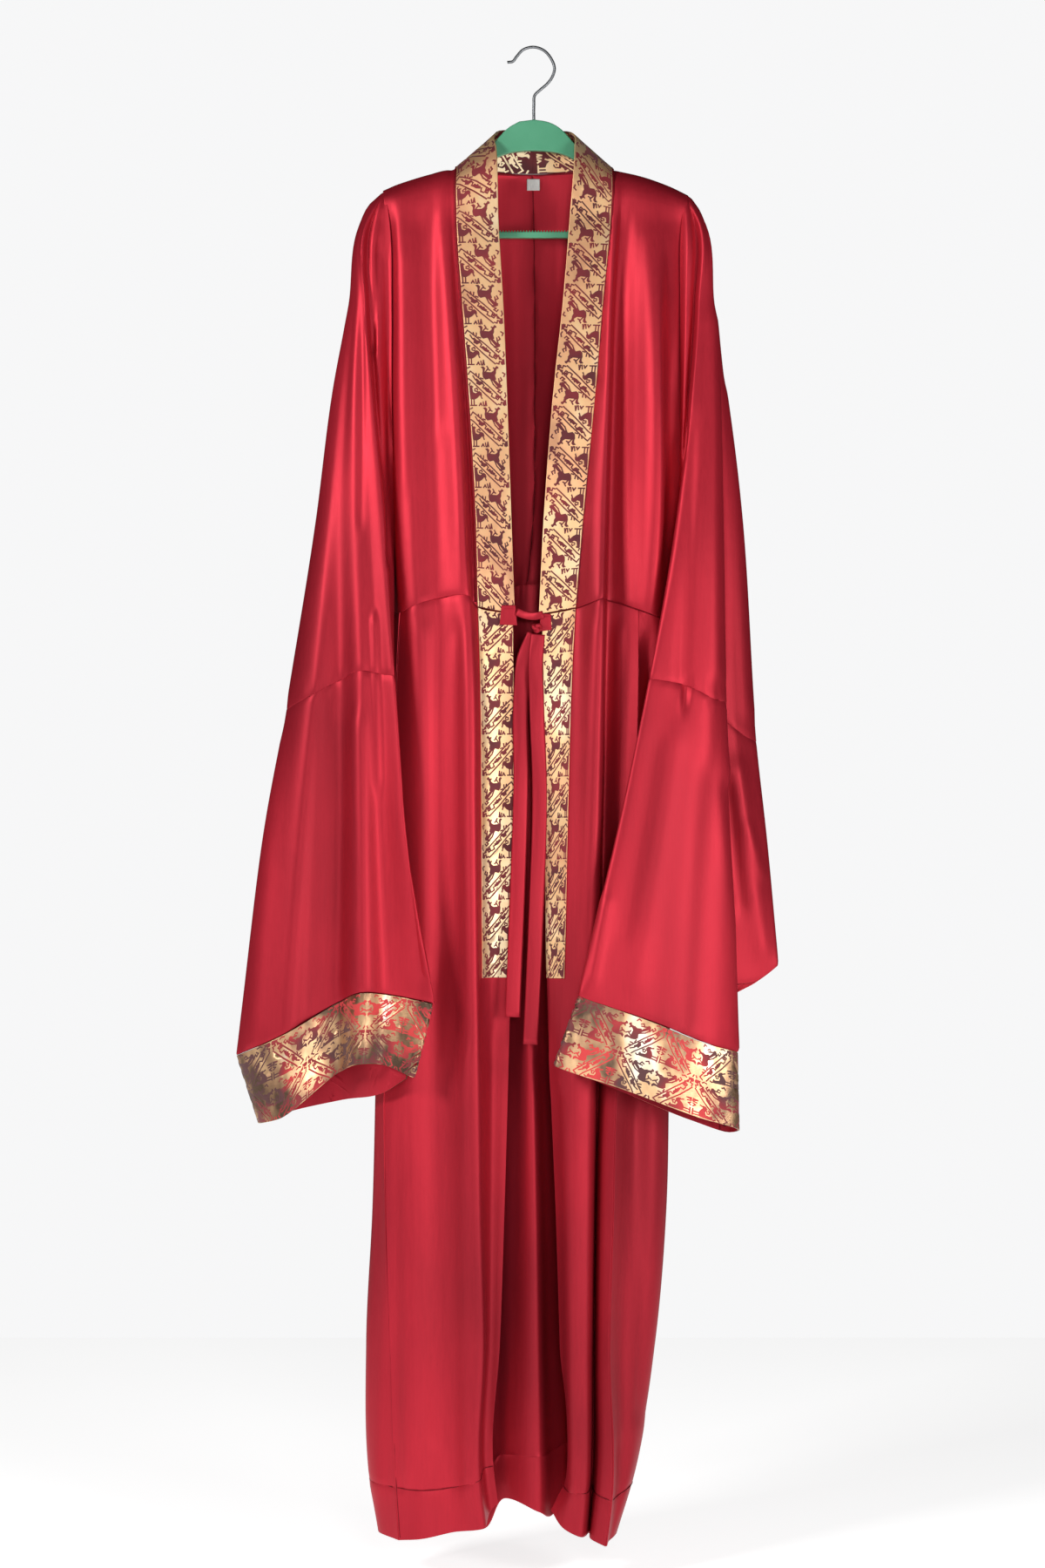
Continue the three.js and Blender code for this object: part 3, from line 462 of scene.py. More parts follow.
front_right = net([
    bodice_line("band seam", -133, -612, [87, 87, 84, 76, 68, 54, 46],
        [-1, -11, -19, -25, -29, -36, -40]),
    bodice_line("crest", -134, -602, [92, 92, 89, 84, 81, 77, 75],
        [-1, -11, -20, -30, -38, -48, -58]),
    bodice_line("valley", -135.5, -603, [99, 99, 95, 89.5, 86.5, 82.5, 80.5],
        [-1, -11, -15, -16, -17, -22, -28]),
    bodice_line("rise", -139, -611, [115, 115, 114, 113, 112, 110, 108],
        [-1, -11, -17, -24, -30, -34, -36]),
    bodice_line("broad", -145, -619, [134, 134, 134, 135, 137, 137, 130],
        [-1, -11, -19, -32, -42, -44, -40]),
    bodice_line("side", -153, -623, [154, 153, 151, 149, 148, 146, 141.5],
        [-1, -11, -15, -19, -17, -18, -20]),
    bodice_line("armhole", -158, -624, [164, 163, 160, 159, 159, 156, 150],
        [-1, -11, -12, -12, -12, -12, -6]),
])
back = net([
    bodice_line("left armhole", -153, -619, [-158, -157, -154, -152, -152, -151, -150],
        [1, 11, 14, 15, 15, 11, -5]),
    bodice_line("left side", -150, -617, [-151, -150, -148, -147, -147, -149, -152],
        [1, 11, 15, 17, 18, 16, 4]),
    bodice_line("left blade", -144, -610, [-134, -134, -134, -135, -136, -138, -140],
        [1, 11, 15, 17, 18, 17, 12]),
    bodice_line("left fold", -137, -597, [-106, -106, -105, -104, -104, -104, -104],
        [1, 12, 16, 19, 20, 19, 18]),
    bodice_line("left neck", -132, -590, [-84, -83, -76, -70, -66, -62, -60],
        [2, 13, 17, 18, 18, 16, 14]),
    bodice_line("left nape", -135, -586, [-44, -43, -38, -34, -30, -28, -26],
        [17, 18, 18, 17, 15, 13, 12]),
    bodice_line("centre", -135, -584, [0, 0, 1, 2, 2, 0, -6],
        [22, 22, 20, 14, 11, 9, 7]),
    bodice_line("right nape", -135, -584, [24, 24, 24, 22, 20, 15, 10],
        [20, 21, 20, 18, 16, 13, 9]),
    bodice_line("right slope", -134, -588, [52, 52, 50, 48, 48, 48, 48],
        [15, 17, 20, 22, 22, 22, 22]),
    bodice_line("right neck", -134, -596, [87, 86, 86, 88, 90, 90, 90],
        [2, 13, 17, 20, 20, 19, 18]),
    bodice_line("right blade", -147, -610, [138, 138, 137, 136, 134, 131, 128],
        [1, 11, 15, 17, 17, 15, 12]),
    bodice_line("right side", -153.5, -622, [155, 154, 153, 152, 152, 152, 151],
        [1, 11, 15, 17, 17, 15, 4]),
    bodice_line("right armhole", -158, -624, [164, 163, 160, 159, 159, 156, 150],
        [1, 11, 14, 15, 15, 11, -5]),
])

crimson = satin("crimson_satin")


def satin_piece(node, lines, across, down, facing, gaps, seams=(), marks=(), **cut):
    """One piece of the robe's satin, sewn along the named edges. What it was cut to, given in cut, is not
    used.
    """
    grid = edged(inset(stretch(lines, across, down), **gaps))
    grid = pucker(crease(grid, marks, facing), seams, random_folds, facing)
    piece = hold(shell("satin_" + node, grid, CLOTH, facing, crimson), node, slot="satin")
    return piece


ENDS = {"top": SEAM_LAP, "bottom": SEAM_LAP}
UNDER_BAND = -0.5  # the fronts run on this far under the collar
UNDER_SLEEVE = -6.0  # and all four pieces this far under the sleeves
satin_piece(
    "bodice_front_left", front_left, (0, 6), (0, 6), 1,
    {**ENDS, "first": UNDER_BAND, "last": UNDER_SLEEVE}, ("top", "bottom", "first"),
    marks=[
        (-100, -190, -96, -420, 6, 0.8), (-121, -200, -117, -590, 7, -1), (-138, -230, -139, -480, 5, 0.8),
        (-75, -300, -70, -560, 4, -0.7), (-104, -420, -98, -610, 8, 1),
    ],
    flat=(0.105, 0.49), rests_on=["green_hanger_body"],
)
satin_piece(
    "bodice_front_right", front_right, (0, 6), (0, 6), -1,
    {**ENDS, "first": UNDER_BAND, "last": UNDER_SLEEVE}, ("top", "bottom", "first"),
    marks=[
        (104, -200, 102, -600, 5, -0.7), (122, -210, 126, -600, 8, 1), (146, -230, 146, -560, 5, -0.8),
        (70, -380, 62, -590, 5, 0.6),
    ],
    flat=(0.12, 0.5), rests_on=["green_hanger_body"],
)
BACK_MARKS = [
    (-120, -180, -124, -580, 7, 0.7), (-88, -200, -82, -560, 8, -0.8), (-52, -190, -48, -570, 7, 0.8),
    (-24, -160, -20, -560, 6, -0.6), (26, -170, 34, -560, 7, 0.7), (70, -190, 68, -580, 7, -0.9),
    (112, -180, 110, -590, 8, 0.8),
]
satin_piece(
    "bodice_back_left", back, (0, 6), (0, 6), 1,
    {**ENDS, "first": UNDER_SLEEVE, "last": SEAM_LAP}, ("top", "bottom", "last"),
    marks=BACK_MARKS, flat=(0.16, 0.49), rests_on=["green_hanger_body"],
)
satin_piece(
    "bodice_back_right", back, (6, 12), (0, 6), 1,
    {**ENDS, "first": SEAM_LAP, "last": UNDER_SLEEVE}, ("top", "bottom", "first"),
    marks=BACK_MARKS, flat=(0.165, 0.49), rests_on=["green_hanger_body"],
)

# ------------------------------------------------------------------------------------- sleeves
# Each sleeve is a wide tube of the same satin, joined across below the elbow where the cloth's width
# ran out. The left one hangs in pleats from the arm's end, and the right one is folded over on itself.


def sleeve_line(name, ridge, x, y, low):
    """A fold line at the bodice's levels down to under the arm, then sleeve seam, forearm, cuff seam."""
    return {"x": x, "y": y, "z": [ridge, ridge - ROLL, *CHEST_LEVELS, *low]}


sleeve_left = net([
    sleeve_line("front armhole", -155.6, [-159.8, -159.6, -155.8, -153.8, -153.8, -151.2, -149.8, -138, -116],
        [-3, -10.6, -13.2, -12.6, -12.6, -12.8, -46, -60, -66], [-688, -860, -1034]),
    sleeve_line("tuck valley", -156.4, [-161.4, -162.4, -164, -161, -159, -154, -149.6, -137, -114],
        [-3.7, -10.5, -12, -12.5, -13, -19, -50, -63, -69], [-687.5, -860, -1034.5]),
    sleeve_line("tuck crest", -156.9, [-161.8, -164, -171, -171, -167, -157.5, -150.5, -136.5, -111.5],
        [-3.4, -11, -15.5, -18, -20.5, -26, -55, -67, -72.5], [-687, -860, -1035]),
    sleeve_line("tuck shadow", -157.4, [-162.2, -165.4, -176, -177, -171, -159, -150, -135.5, -109],
        [-3.2, -10.5, -12, -14, -17, -32, -59, -70, -76], [-686.5, -860, -1035.5]),
    sleeve_line("inner crest", -157.9, [-162.7, -166.6, -181, -183, -175, -161, -149, -135, -107],
        [-3, -10.5, -19, -24, -33, -47, -62, -72, -78], [-686, -860, -1036]),
    sleeve_line("pleat valley", -158.6, [-164, -169, -183, -187, -185, -177, -168, -164, -156],
        [-2.6, -10, -16.2, -21.5, -30.5, -44, -56, -60, -58], [-683, -860, -1028]),
    sleeve_line("pleat crest", -159.4, [-165.4, -171, -185.5, -190.5, -194, -192, -184, -181, -181],
        [-2.2, -9, -13, -19, -29, -42, -58, -69, -72], [-680, -860, -1025]),
    sleeve_line("dark valley", -160.6, [-167, -174, -187, -194, -201, -208, -208, -207, -209],
        [-1.6, -7.5, -10, -14.5, -22.5, -33.5, -42, -42, -42], [-690, -860, -1037]),
    sleeve_line("outer crest", -161.4, [-168, -176, -188.4, -197.5, -208.5, -222, -239, -255, -272],
        [-1, -5, -6, -9, -17, -28, -42, -48, -54], [-706, -862, -1073]),
    sleeve_line("shoulder fold", -163, [-170, -178.3, -189.6, -200.5, -217, -235, -267, -291, -321],
        [0, 0, 1, 1, -2, -8, -12, -16, -18], [-721, -866, -1096]),
    sleeve_line("outer back", -161.4, [-167, -175, -187, -195.5, -208, -222, -246, -266, -292],
        [1, 7, 11, 13, 14, 12, 10, 6, 2], [-708, -862, -1086]),
    sleeve_line("back fold", -159, [-165, -170, -181, -186, -192, -200, -211, -221, -236],
        [2, 9, 13, 16, 19, 18, 14, 6, -2], [-692, -860, -1074]),
    sleeve_line("inner back", -157.2, [-162.5, -164, -170, -171, -172, -174, -177, -178, -174],
        [3, 10, 15, 18, 18, 8, -18, -34, -46], [-688, -860, -1058]),
    sleeve_line("back armhole", -155.6, [-159.8, -159.6, -155.8, -153.8, -153.8, -153, -156, -141, -119],
        [3, 10.8, 15.6, 16.6, 16.6, 12.6, -42, -57, -63], [-688, -860, -1042]),
])
sleeve_right = net([
    sleeve_line("front armhole", -160.6, [165.6, 165.2, 161.8, 160.6, 160.6, 157.6, 145.5, 114, 68],
        [-3.4, -10.6, -13.4, -13.8, -13.8, -13.8, -46, -61, -70], [-689, -860, -1030]),
    sleeve_line("tuck crest", -161.2, [166.8, 167, 169, 168, 165, 157.5, 139, 107, 62],
        [-3.8, -10.8, -19, -22, -24, -26, -52, -66, -75], [-689, -860, -1029]),
    sleeve_line("tuck shadow", -161.7, [167.8, 169, 176, 175, 169, 156.5, 132, 99, 56],
        [-3.5, -10.5, -12, -14, -17, -34, -58, -70, -80], [-689, -860, -1028]),
    sleeve_line("inner crest", -162.3, [169, 171.5, 181.5, 180.5, 173, 155, 125, 90, 50],
        [-3.2, -10.5, -19, -26, -36, -50, -66, -76, -86], [-689, -860, -1027]),
    sleeve_line("middle", -163.2, [170.6, 174, 184, 186, 184, 174, 164, 150, 134],
        [-2.8, -10, -17, -25, -36, -56, -66, -78, -84], [-696, -860, -1058]),
    sleeve_line("rise", -164.2, [172, 176, 185.8, 191.5, 195, 194, 193, 190, 184],
        [-2.4, -9.5, -15, -23, -33, -50, -60, -66, -70], [-710, -860, -1079]),
    sleeve_line("front crest", -165.6, [173.5, 177.5, 187, 195.5, 200.5, 204, 208, 215, 219.5],
        [-2, -9, -14, -20, -27, -38, -44, -48, -50], [-715, -862, -1091]),
    sleeve_line("flap fold", -166.3, [174, 178.5, 187, 193.5, 196, 197, 199, 202, 206],
        [-1.5, -7, -8, -10, -14, -22, -26, -26, -20], [-722, -863, -1022]),
    sleeve_line("flap middle", -167.4, [175, 180, 188, 196.5, 205, 214, 222, 231, 242],
        [-1, -5, -4, -4, -8, -12, -16, -20, -8], [-744, -865, -1017]),
    sleeve_line("flap edge", -168.5, [175.5, 180.8, 188.6, 197.5, 209.5, 227, 243, 255, 267],
        [0, 0, 2, 4, 2, 1, 0, -2, -3], [-756, -866, -1000]),
    sleeve_line("flap back", -166.8, [174, 178.5, 187, 193.5, 201, 212, 222, 230, 242],
        [1.5, 8, 13, 15, 16, 15, 14, 10, -4], [-740, -864, -1019]),
    sleeve_line("back fold", -164.5, [170.5, 173, 183, 187, 190, 190, 190, 190, 190],
        [3, 10, 15, 19, 21, 20, 14, 2, -12], [-720, -861, -1040]),
    sleeve_line("inner back", -162.2, [168.5, 170, 174, 173, 172, 170, 164, 146, 108],
        [3.5, 11, 17, 20, 20, 12, -14, -46, -60], [-700, -860, -1044]),
    sleeve_line("back armhole", -160.6, [165.6, 165.2, 161.8, 160.6, 160.6, 157.8, 148, 116, 71],
        [3, 10.8, 15.8, 17, 17, 12.8, -42, -58, -67], [-689, -860, -1036]),
])

SLEEVE_MARKS = {
    "left": [
        (-215, -300, -262, -700, 12, 1.4), (-184, -240, -186, -520, 4, -1.2),
        (-168, -215, -173, -330, 2.6, -3.4), (-158.5, -225, -155.5, -560, 2.4, -3.2),
        (-171, -625, -166, -800, 4, 3.4), (-283, -760, -300, -1060, 12, 2.7),
        (-228, -720, -246, -1050, 12, -3), (-190, -740, -196, -1010, 9, 3),
        (-128, -820, -118, -1000, 9, -2.7),
    ],
    "right": [
        (196, -300, 198, -680, 8, 2.5), (214, -380, 232, -720, 9, 2.5), (172, -420, 160, -690, 9, -2.7),
        (165, -698, 163, -716, 4, -4.2), (150, -760, 110, -1010, 14, 2.3), (190, -800, 176, -1060, 14, -2.3),
        (132, -760, 96, -960, 10, -1.9), (222, -790, 250, -980, 10, 3.4), (212, -810, 226, -930, 8, -3.4),
        (78, -930, 64, -1010, 6, 3), (232, -850, 248, -900, 4, 2.3),
    ],
}
UPPER_GAPS = {**ENDS, "first": SEAM_LAP, "last": SEAM_LAP}
LOWER_GAPS = {**UPPER_GAPS, "bottom": 0.4}  # this leaves room for the cuff
for side, lines, last, facing, upper_cut, lower_cut in (
    ("left", sleeve_left, 13, 1, (0.21, 0.56), (0.44, 0.37)),
    ("right", sleeve_right, 13, -1, (0.21, 0.58), (0.46, 0.35)),
):
    satin_piece(
        f"sleeve_upper_{side}", lines, (0, last), (0, 6), facing,
        UPPER_GAPS, ("bottom",), SLEEVE_MARKS[side],
        flat=upper_cut, rests_on=[f"satin_bodice_front_{side}", "green_hanger_body"],
    )
    satin_piece(
        f"sleeve_lower_{side}", lines, (0, last), (6, 8), facing,
        LOWER_GAPS, ("top", "bottom"), SLEEVE_MARKS[side],
        flat=lower_cut, rests_on=[f"satin_sleeve_upper_{side}"],
    )

# ------------------------------------------------------------------------------------- skirt and hem
# The skirt is cut in two fronts and a back that wraps round both sides, all sewn to the bodice at the
# waist. A band of the same satin, sewn on below, faces the hem.

SKIRT_LEVELS = [-688, -830, -1011, -1125, -1265, -1410]
HEM_SEAM = 7
HEM = 8


def skirt_line(name, waist, x, y, seam, hem):
    """A fold line at the waist, hip, thigh, sleeve end, knee, calf, shin, hem seam and hem."""
    return {"x": x, "y": y, "z": [waist, *SKIRT_LEVELS, seam, hem]}


skirt_left = net([
    skirt_line("opening edge", -619, [-22, -21, -21, -24, -27, -31, -36, -43, -38],
        [-35.5, -34, -33, -32, -25, -20, -19, -19, -20], -1542, -1582),
    skirt_line("setback", -616, [-40, -40, -39, -40, -42, -44, -46, -52, -46],
        [-36, -36, -35, -33, -26, -21, -20, -20, -21], -1544, -1590),
    skirt_line("band seam", -611.8, [-60, -58, -57, -56, -54, -53, -50, -56, -50],
        [-37, -45, -46, -46, -44, -42, -40, -40, -40], -1547, -1597),
    skirt_line("crest", -599.4, [-70, -64, -62, -60, -58, -56, -52, -58, -52],
        [-46, -53, -55, -56, -57, -58, -58, -58, -56], -1550, -1601),
    skirt_line("dip", -601.2, [-102, -102, -102, -100, -98, -96, -92, -88, -86],
        [-37, -38, -38, -38, -40, -42, -44, -46, -46], -1560, -1608),
    skirt_line("ridge", -609.2, [-128, -128, -128, -128, -128, -126, -124, -122, -122],
        [-41, -40, -38, -38, -40, -44, -48, -52, -54], -1562, -1614),
    skirt_line("side seam", -616.2, [-143, -147, -152, -156, -159, -156, -152, -147, -143],
        [-31, -28, -24, -22, -24, -30, -36, -42, -44], -1561, -1617),
])
skirt_right = net([
    skirt_line("opening edge", -620, [9, 11, 13, 15, 19, 24, 28, 32, 20],
        [-46, -46, -45, -44, -40, -36, -34, -32, -30], -1560, -1588),
    skirt_line("band seam", -613, [46, 42, 38, 34, 30, 34, 38, 40, 34],
        [-40, -44, -48, -52, -54, -54, -54, -52, -50], -1564, -1604),
    skirt_line("crest", -602.8, [75, 73.5, 70.5, 66, 61, 58, 56, 54, 50],
        [-58, -58, -58, -58, -60, -60, -60, -58, -56], -1564, -1611),
    skirt_line("valley", -603.8, [80.5, 79, 76.5, 73.5, 71, 68, 66, 64, 62],
        [-32, -26, -24, -22, -22, -22, -22, -24, -26], -1562, -1611),
    skirt_line("fold", -609, [98, 98, 96, 88, 78, 74, 72, 70, 63],
        [-34, -34, -36, -40, -46, -50, -52, -52, -50], -1567, -1615),
    skirt_line("side seam", -614, [112, 112, 108, 98, 88, 84, 80, 82, 76],
        [-37, -40, -44, -48, -54, -58, -60, -60, -58], -1571, -1620),
])
# The back's waist edge lies up to 6 mm below the bodice's on the left, as their fold lines differ.
skirt_back = net([
    skirt_line("left front seam", -617, [-145, -149, -155, -159, -162, -159, -155, -150, -146],
        [-29, -26, -22, -20, -22, -28, -34, -40, -42], -1561, -1617),
    skirt_line("left edge", -619, [-153, -158, -164, -168, -170, -173, -180, -176, -167],
        [-6, -8, -8, -8, -8, -10, -12, -14, -16], -1558, -1614),
    skirt_line("left back", -617, [-150, -152, -158, -162, -164, -166, -168, -166, -154],
        [6, 10, 16, 20, 24, 28, 30, 30, 28], -1560, -1615),
    skirt_line("left fold", -609, [-122, -124, -126, -130, -132, -132, -132, -130, -124],
        [16, 18, 16, 12, 8, 6, 6, 6, 6], -1564, -1618),
    skirt_line("left ridge", -597, [-84, -86, -88, -92, -94, -96, -96, -94, -90],
        [16, 24, 34, 40, 44, 46, 46, 44, 42], -1566, -1620),
    skirt_line("left valley", -590, [-50, -50, -50, -52, -54, -54, -54, -54, -52],
        [13, 12, 12, 12, 12, 12, 12, 12, 12], -1562, -1616),
    skirt_line("middle", -586, [-22, -22, -24, -26, -28, -30, -34, -36, -32],
        [11, 12, 14, 12, 8, 4, 0, -4, -6], -1534, -1580),
    skirt_line("middle ridge", -584, [-6, -6, -5, -3, 0, 3, 5, 7, 7],
        [8, 4, -2, -12, -19, -24, -28, -30, -30], -1530, -1590),
    skirt_line("middle valley", -585, [14, 14, 14, 15, 16, 18, 20, 22, 21],
        [10, 8, 6, 6, 6, 6, 6, 6, 6], -1530, -1600),
    skirt_line("pocket", -588, [30, 30, 29, 28, 28, 29, 31, 33, 32],
        [16, 18, 18, 20, 20, 22, 22, 22, 20], -1525, -1590),
    skirt_line("right ridge", -592, [62, 62, 60, 58, 58, 58, 56, 54, 50],
        [20, 28, 36, 40, 44, 45, 43, 39, 34], -1566, -1620),
    skirt_line("right fold", -600, [96, 98, 100, 102, 100, 95, 88, 80, 74],
        [18, 16, 12, 10, 8, 8, 8, 8, 8], -1566, -1620),
    skirt_line("right back", -616, [138, 140, 140, 140, 139, 136, 125, 101, 84],
        [10, 14, 20, 24, 26, 26, 24, 20, 16], -1562, -1614),
    skirt_line("right edge", -626, [150, 150, 149, 148, 146, 143, 131, 107, 91],
        [-6, -8, -10, -12, -12, -12, -12, -12, -12], -1562, -1613),
    skirt_line("right ridge front", -623, [137, 134, 133, 131, 127, 121, 112, 99, 86],
        [-34, -34, -32, -30, -30, -30, -30, -32, -34], -1566, -1616),
    skirt_line("right hollow", -619, [126, 126, 122, 116, 110, 105, 99, 92, 82],
        [-39, -28, -26, -24, -26, -30, -32, -36, -40], -1570, -1618),
    skirt_line("right front seam", -615, [115, 115, 111, 101, 91, 87, 83, 85, 79],
        [-37, -39, -43, -47, -53, -57, -59, -59, -57], -1571, -1620),
])

SIDE_LAP = -2.2  # the side seams' edges stand apart at an angle, so they reach further
SLOPE_STEP = 0.02  # the cloth's slope is read this far to each side, in lines and levels
SKIRT_MARKS = [
    (-118, -640, -114, -1000, 10, 2.8), (-84, -640, -82, -1100, 9, -2.5), (-108, -1000, -104, -1500, 12, -3),
    (-136, -1100, -134, -1540, 9, 2.8), (-72, -1100, -70, -1560, 9, 2.5), (-44, -1080, -48, -1500, 8, -2.3),
    (66, -640, 58, -1000, 8, 1.9), (94, -640, 92, -960, 6, 2.3), (104, -1150, 98, -1500, 9, 3),
    (46, -1120, 44, -1560, 8, 2.8), (26, -1140, 34, -1560, 6, -2.3), (122, -1120, 116, -1480, 9, -2.7),
    (-150, -1150, -166, -1560, 9, 2.7), (10, -1100, 18, -1520, 8, 2.3), (-24, -1060, -28, -1560, 8, -2.3),
]


def on_face(lines, line, level, lift, last_line=None, last_level=None):
    """Points a little off the cloth's face, on a stretch of it up to the last line and level."""
    line, level = np.broadcast_arrays(np.asarray(line, float), np.asarray(level, float))
    end = len(lines) - 1 if last_line is None else last_line
    foot = lines.shape[1] - 1 if last_level is None else last_level
    steps = (-SLOPE_STEP, SLOPE_STEP)
    before, after = (on_cloth(lines, np.clip(line + step, 0, end), level) for step in steps)
    above, below = (on_cloth(lines, line, np.clip(level + step, 0, foot)) for step in steps)
    normal = np.cross(after - before, below - above)
    return on_cloth(lines, line, level) + normal / np.linalg.norm(normal, axis=1, keepdims=True) * lift


for part, lines, last, facing, gaps, cut, hem_cut in (
    ("front_left", skirt_left, 6, 1, {"last": SIDE_LAP}, (0.155, 0.96), (0.13, 0.054)),
    ("front_right", skirt_right, 5, -1, {"last": SIDE_LAP}, (0.135, 0.96), (0.11, 0.05)),
    ("back", skirt_back, 16, 1, {"first": SIDE_LAP, "last": SIDE_LAP}, (0.54, 0.97), (0.5, 0.06)),
):
    above = ["back_left", "back_right"] if part == "back" else [part]
    satin_piece(
        "skirt_" + part, lines, (0, last), (0, HEM_SEAM), facing,
        {**ENDS, **gaps}, ("top", "bottom"), SKIRT_MARKS,
        flat=cut, rests_on=["satin_bodice_" + half for half in above],
    )
    satin_piece(
        "hem_" + part, lines, (0, last), (HEM_SEAM, HEM), facing,
        {"top": SEAM_LAP, **gaps}, ("top",), SKIRT_MARKS,
        flat=hem_cut, rests_on=["satin_skirt_" + part],
    )

# ------------------------------------------------------------------------------------- brocade collar
# The collar is a 44 mm band of brocade: a ground of gold metal thread with figures in crimson silk. It
# is seamed at the middle of the back of the neck, folded double and sewn to the bodice's edge.

COLLAR_WIDTH = 44.0
REPEAT = 44.5  # length of one pattern repeat along the band
FIRST_REPEAT = 3  # it starts this far from the seam at the neck
BAND = 2.0  # thickness of the folded band
TRIM = 0.3  # it stands this far clear of what it is sewn to, along each edge
THREAD = 1.5  # width of the pattern's drawn lines
MESH_STEP = 6.0  # spacing of the mesh where the pattern leaves it open
BORDER = 0.5  # a line of the mesh runs this far inside each edge, which keeps the edge crisp
SLOPE_REACH = 0.5  # the band's slope is read this far to each side, in mm
LAY_STEPS = 400  # places along a band at which its length is measured


def gold_thread(name, scale, tints, metal):
    """Flat gold metal thread, brighter and darker from place to place in painted reflections."""
    gold = Finish(name, Metallic=metal, Specular_IOR_Level=0.5)
    painted_reflections = gold.noise(scale, 3.0, stretch=(1, 1, 0.6), roughness=0.6)
    gold.set(Base_Color=gold.shades(painted_reflections, tints))
    threads = gold.noise(900.0, 2.0, stretch=(0.25, 1, 1))
    gold.set(Roughness=0.3 + 0.2 * threads)
    gold.bump(threads * 0.5 + gold.noise(120.0, 3.0) * 0.5, 0.4, 0.0008)
    return gold.material


def silk_figures(name, scale, tints):
    """Crimson silk floats among the gold."""
    silk = Finish(name, Sheen_Weight=0.3, Specular_IOR_Level=0.4)
    fleck = silk.noise(300.0, 3.0)
    # The figures' colour drifts at random between the tints; on the cuffs these run from near black to bright
    # red and paint light and shade.
    silk.set(Base_Color=silk.shades(silk.noise(scale, 2.0), tints))
    silk.set(Roughness=0.5 + 0.2 * fleck)
    silk.bump(fleck, 0.35, 0.0006)
    return silk.material


# The collar's gold runs from dull brown to pale gold: painted reflections of the metal thread.
gold_brocade = gold_thread("gold_brocade", 14.0, [
    (0.30, (0.66, 0.33, 0.18)), (0.42, (0.92, 0.50, 0.26)),
    (0.54, (0.97, 0.62, 0.32)), (0.68, (1.0, 0.80, 0.52)),
], 0.62)
crimson_figures = silk_figures("crimson_figures", 22.0, [
    (0.35, (0.10, 0.008, 0.013)), (0.7, (0.26, 0.013, 0.021)),
])

# One repeat of the pattern, in mm across and down: two slanting bars with a scroll between them, a
# leaping deer above, a long-legged bird below, and small plants and hooks in the corners.
figure_lines = [
    [(0.8, 9), (3.3, 5.7), (6.6, 8.2), (22, 21.3), (38.5, 36.9)],
    [(0.8, 14), (4, 16.4), (18.9, 31), (32, 42.6)],
    [(6, 11), (8.2, 14.7), (11.5, 16.4), (9.8, 18.9), (13, 20.5), (16.4, 18.9), (18, 21.3), (16.4, 23.7),
     (19.7, 26.2), (23, 25.4), (23.8, 28.6), (27, 30.5), (26, 33.5), (29, 35.5)],
    [(9.6, 8.4), (10, 11)], [(13, 9), (12.6, 11.8)], [(14.6, 13.4), (17.2, 14.2)],
    [(18.8, 7.4), (18, 3.3), (16.9, 1.6)], [(20.5, 6.6), (23.8, 3), (22.5, 0.9)], [(24, 4.2), (25.6, 5)],
    [(30.3, 7.4), (32.3, 4.1), (33.3, 1.4)], [(31.6, 4.6), (29.8, 2.6)], [(32.6, 3.2), (34.6, 2.6)],
    [(28.7, 14.8), (32.8, 18.9), (36.9, 22.1), (35.6, 18.2), (35.2, 14.6)],
    [(26.2, 14.8), (28.7, 20.5), (32, 23.8), (36, 24.2)],
    [(37.4, 13.4), (38.8, 16), (36.4, 17.4)],
    [(32, 24.4), (36, 26.8), (33.6, 28.2), (36.4, 30.3), (38, 28.6)],
    [(2.2, 22.6), (1.2, 20.4), (2.2, 18.6)], [(2.6, 34), (2.4, 42.4)], [(5.6, 34.6), (5.4, 42.4)],
    [(1.4, 43), (8, 43)],
    [(7, 27.2), (10, 28), (13.2, 31.2), (14.8, 35.4)], [(7, 25.6), (9.6, 24.4), (10.4, 26.2)],
    [(11.4, 43.2), (13.2, 40.6), (14.4, 43.2)], [(16.6, 43.6), (16, 39.6)],
    [(18, 43.6), (19, 38.8), (19.8, 43.4)],
    [(31.8, 32.6), (30.4, 35.4), (33, 37.2), (34.6, 35.2), (33.2, 33.8)],
    [(36.4, 33.6), (37, 37.4), (41, 38.6), (40.6, 43.4)], [(33.6, 42), (36.2, 42.8), (37, 40), (39, 40.8)],
    [(41.8, 30), (42.6, 33), (41.4, 35)], [(0.8, 2.2), (3, 1.2)], [(40, 8), (42.4, 9.4), (41.2, 12)],
]
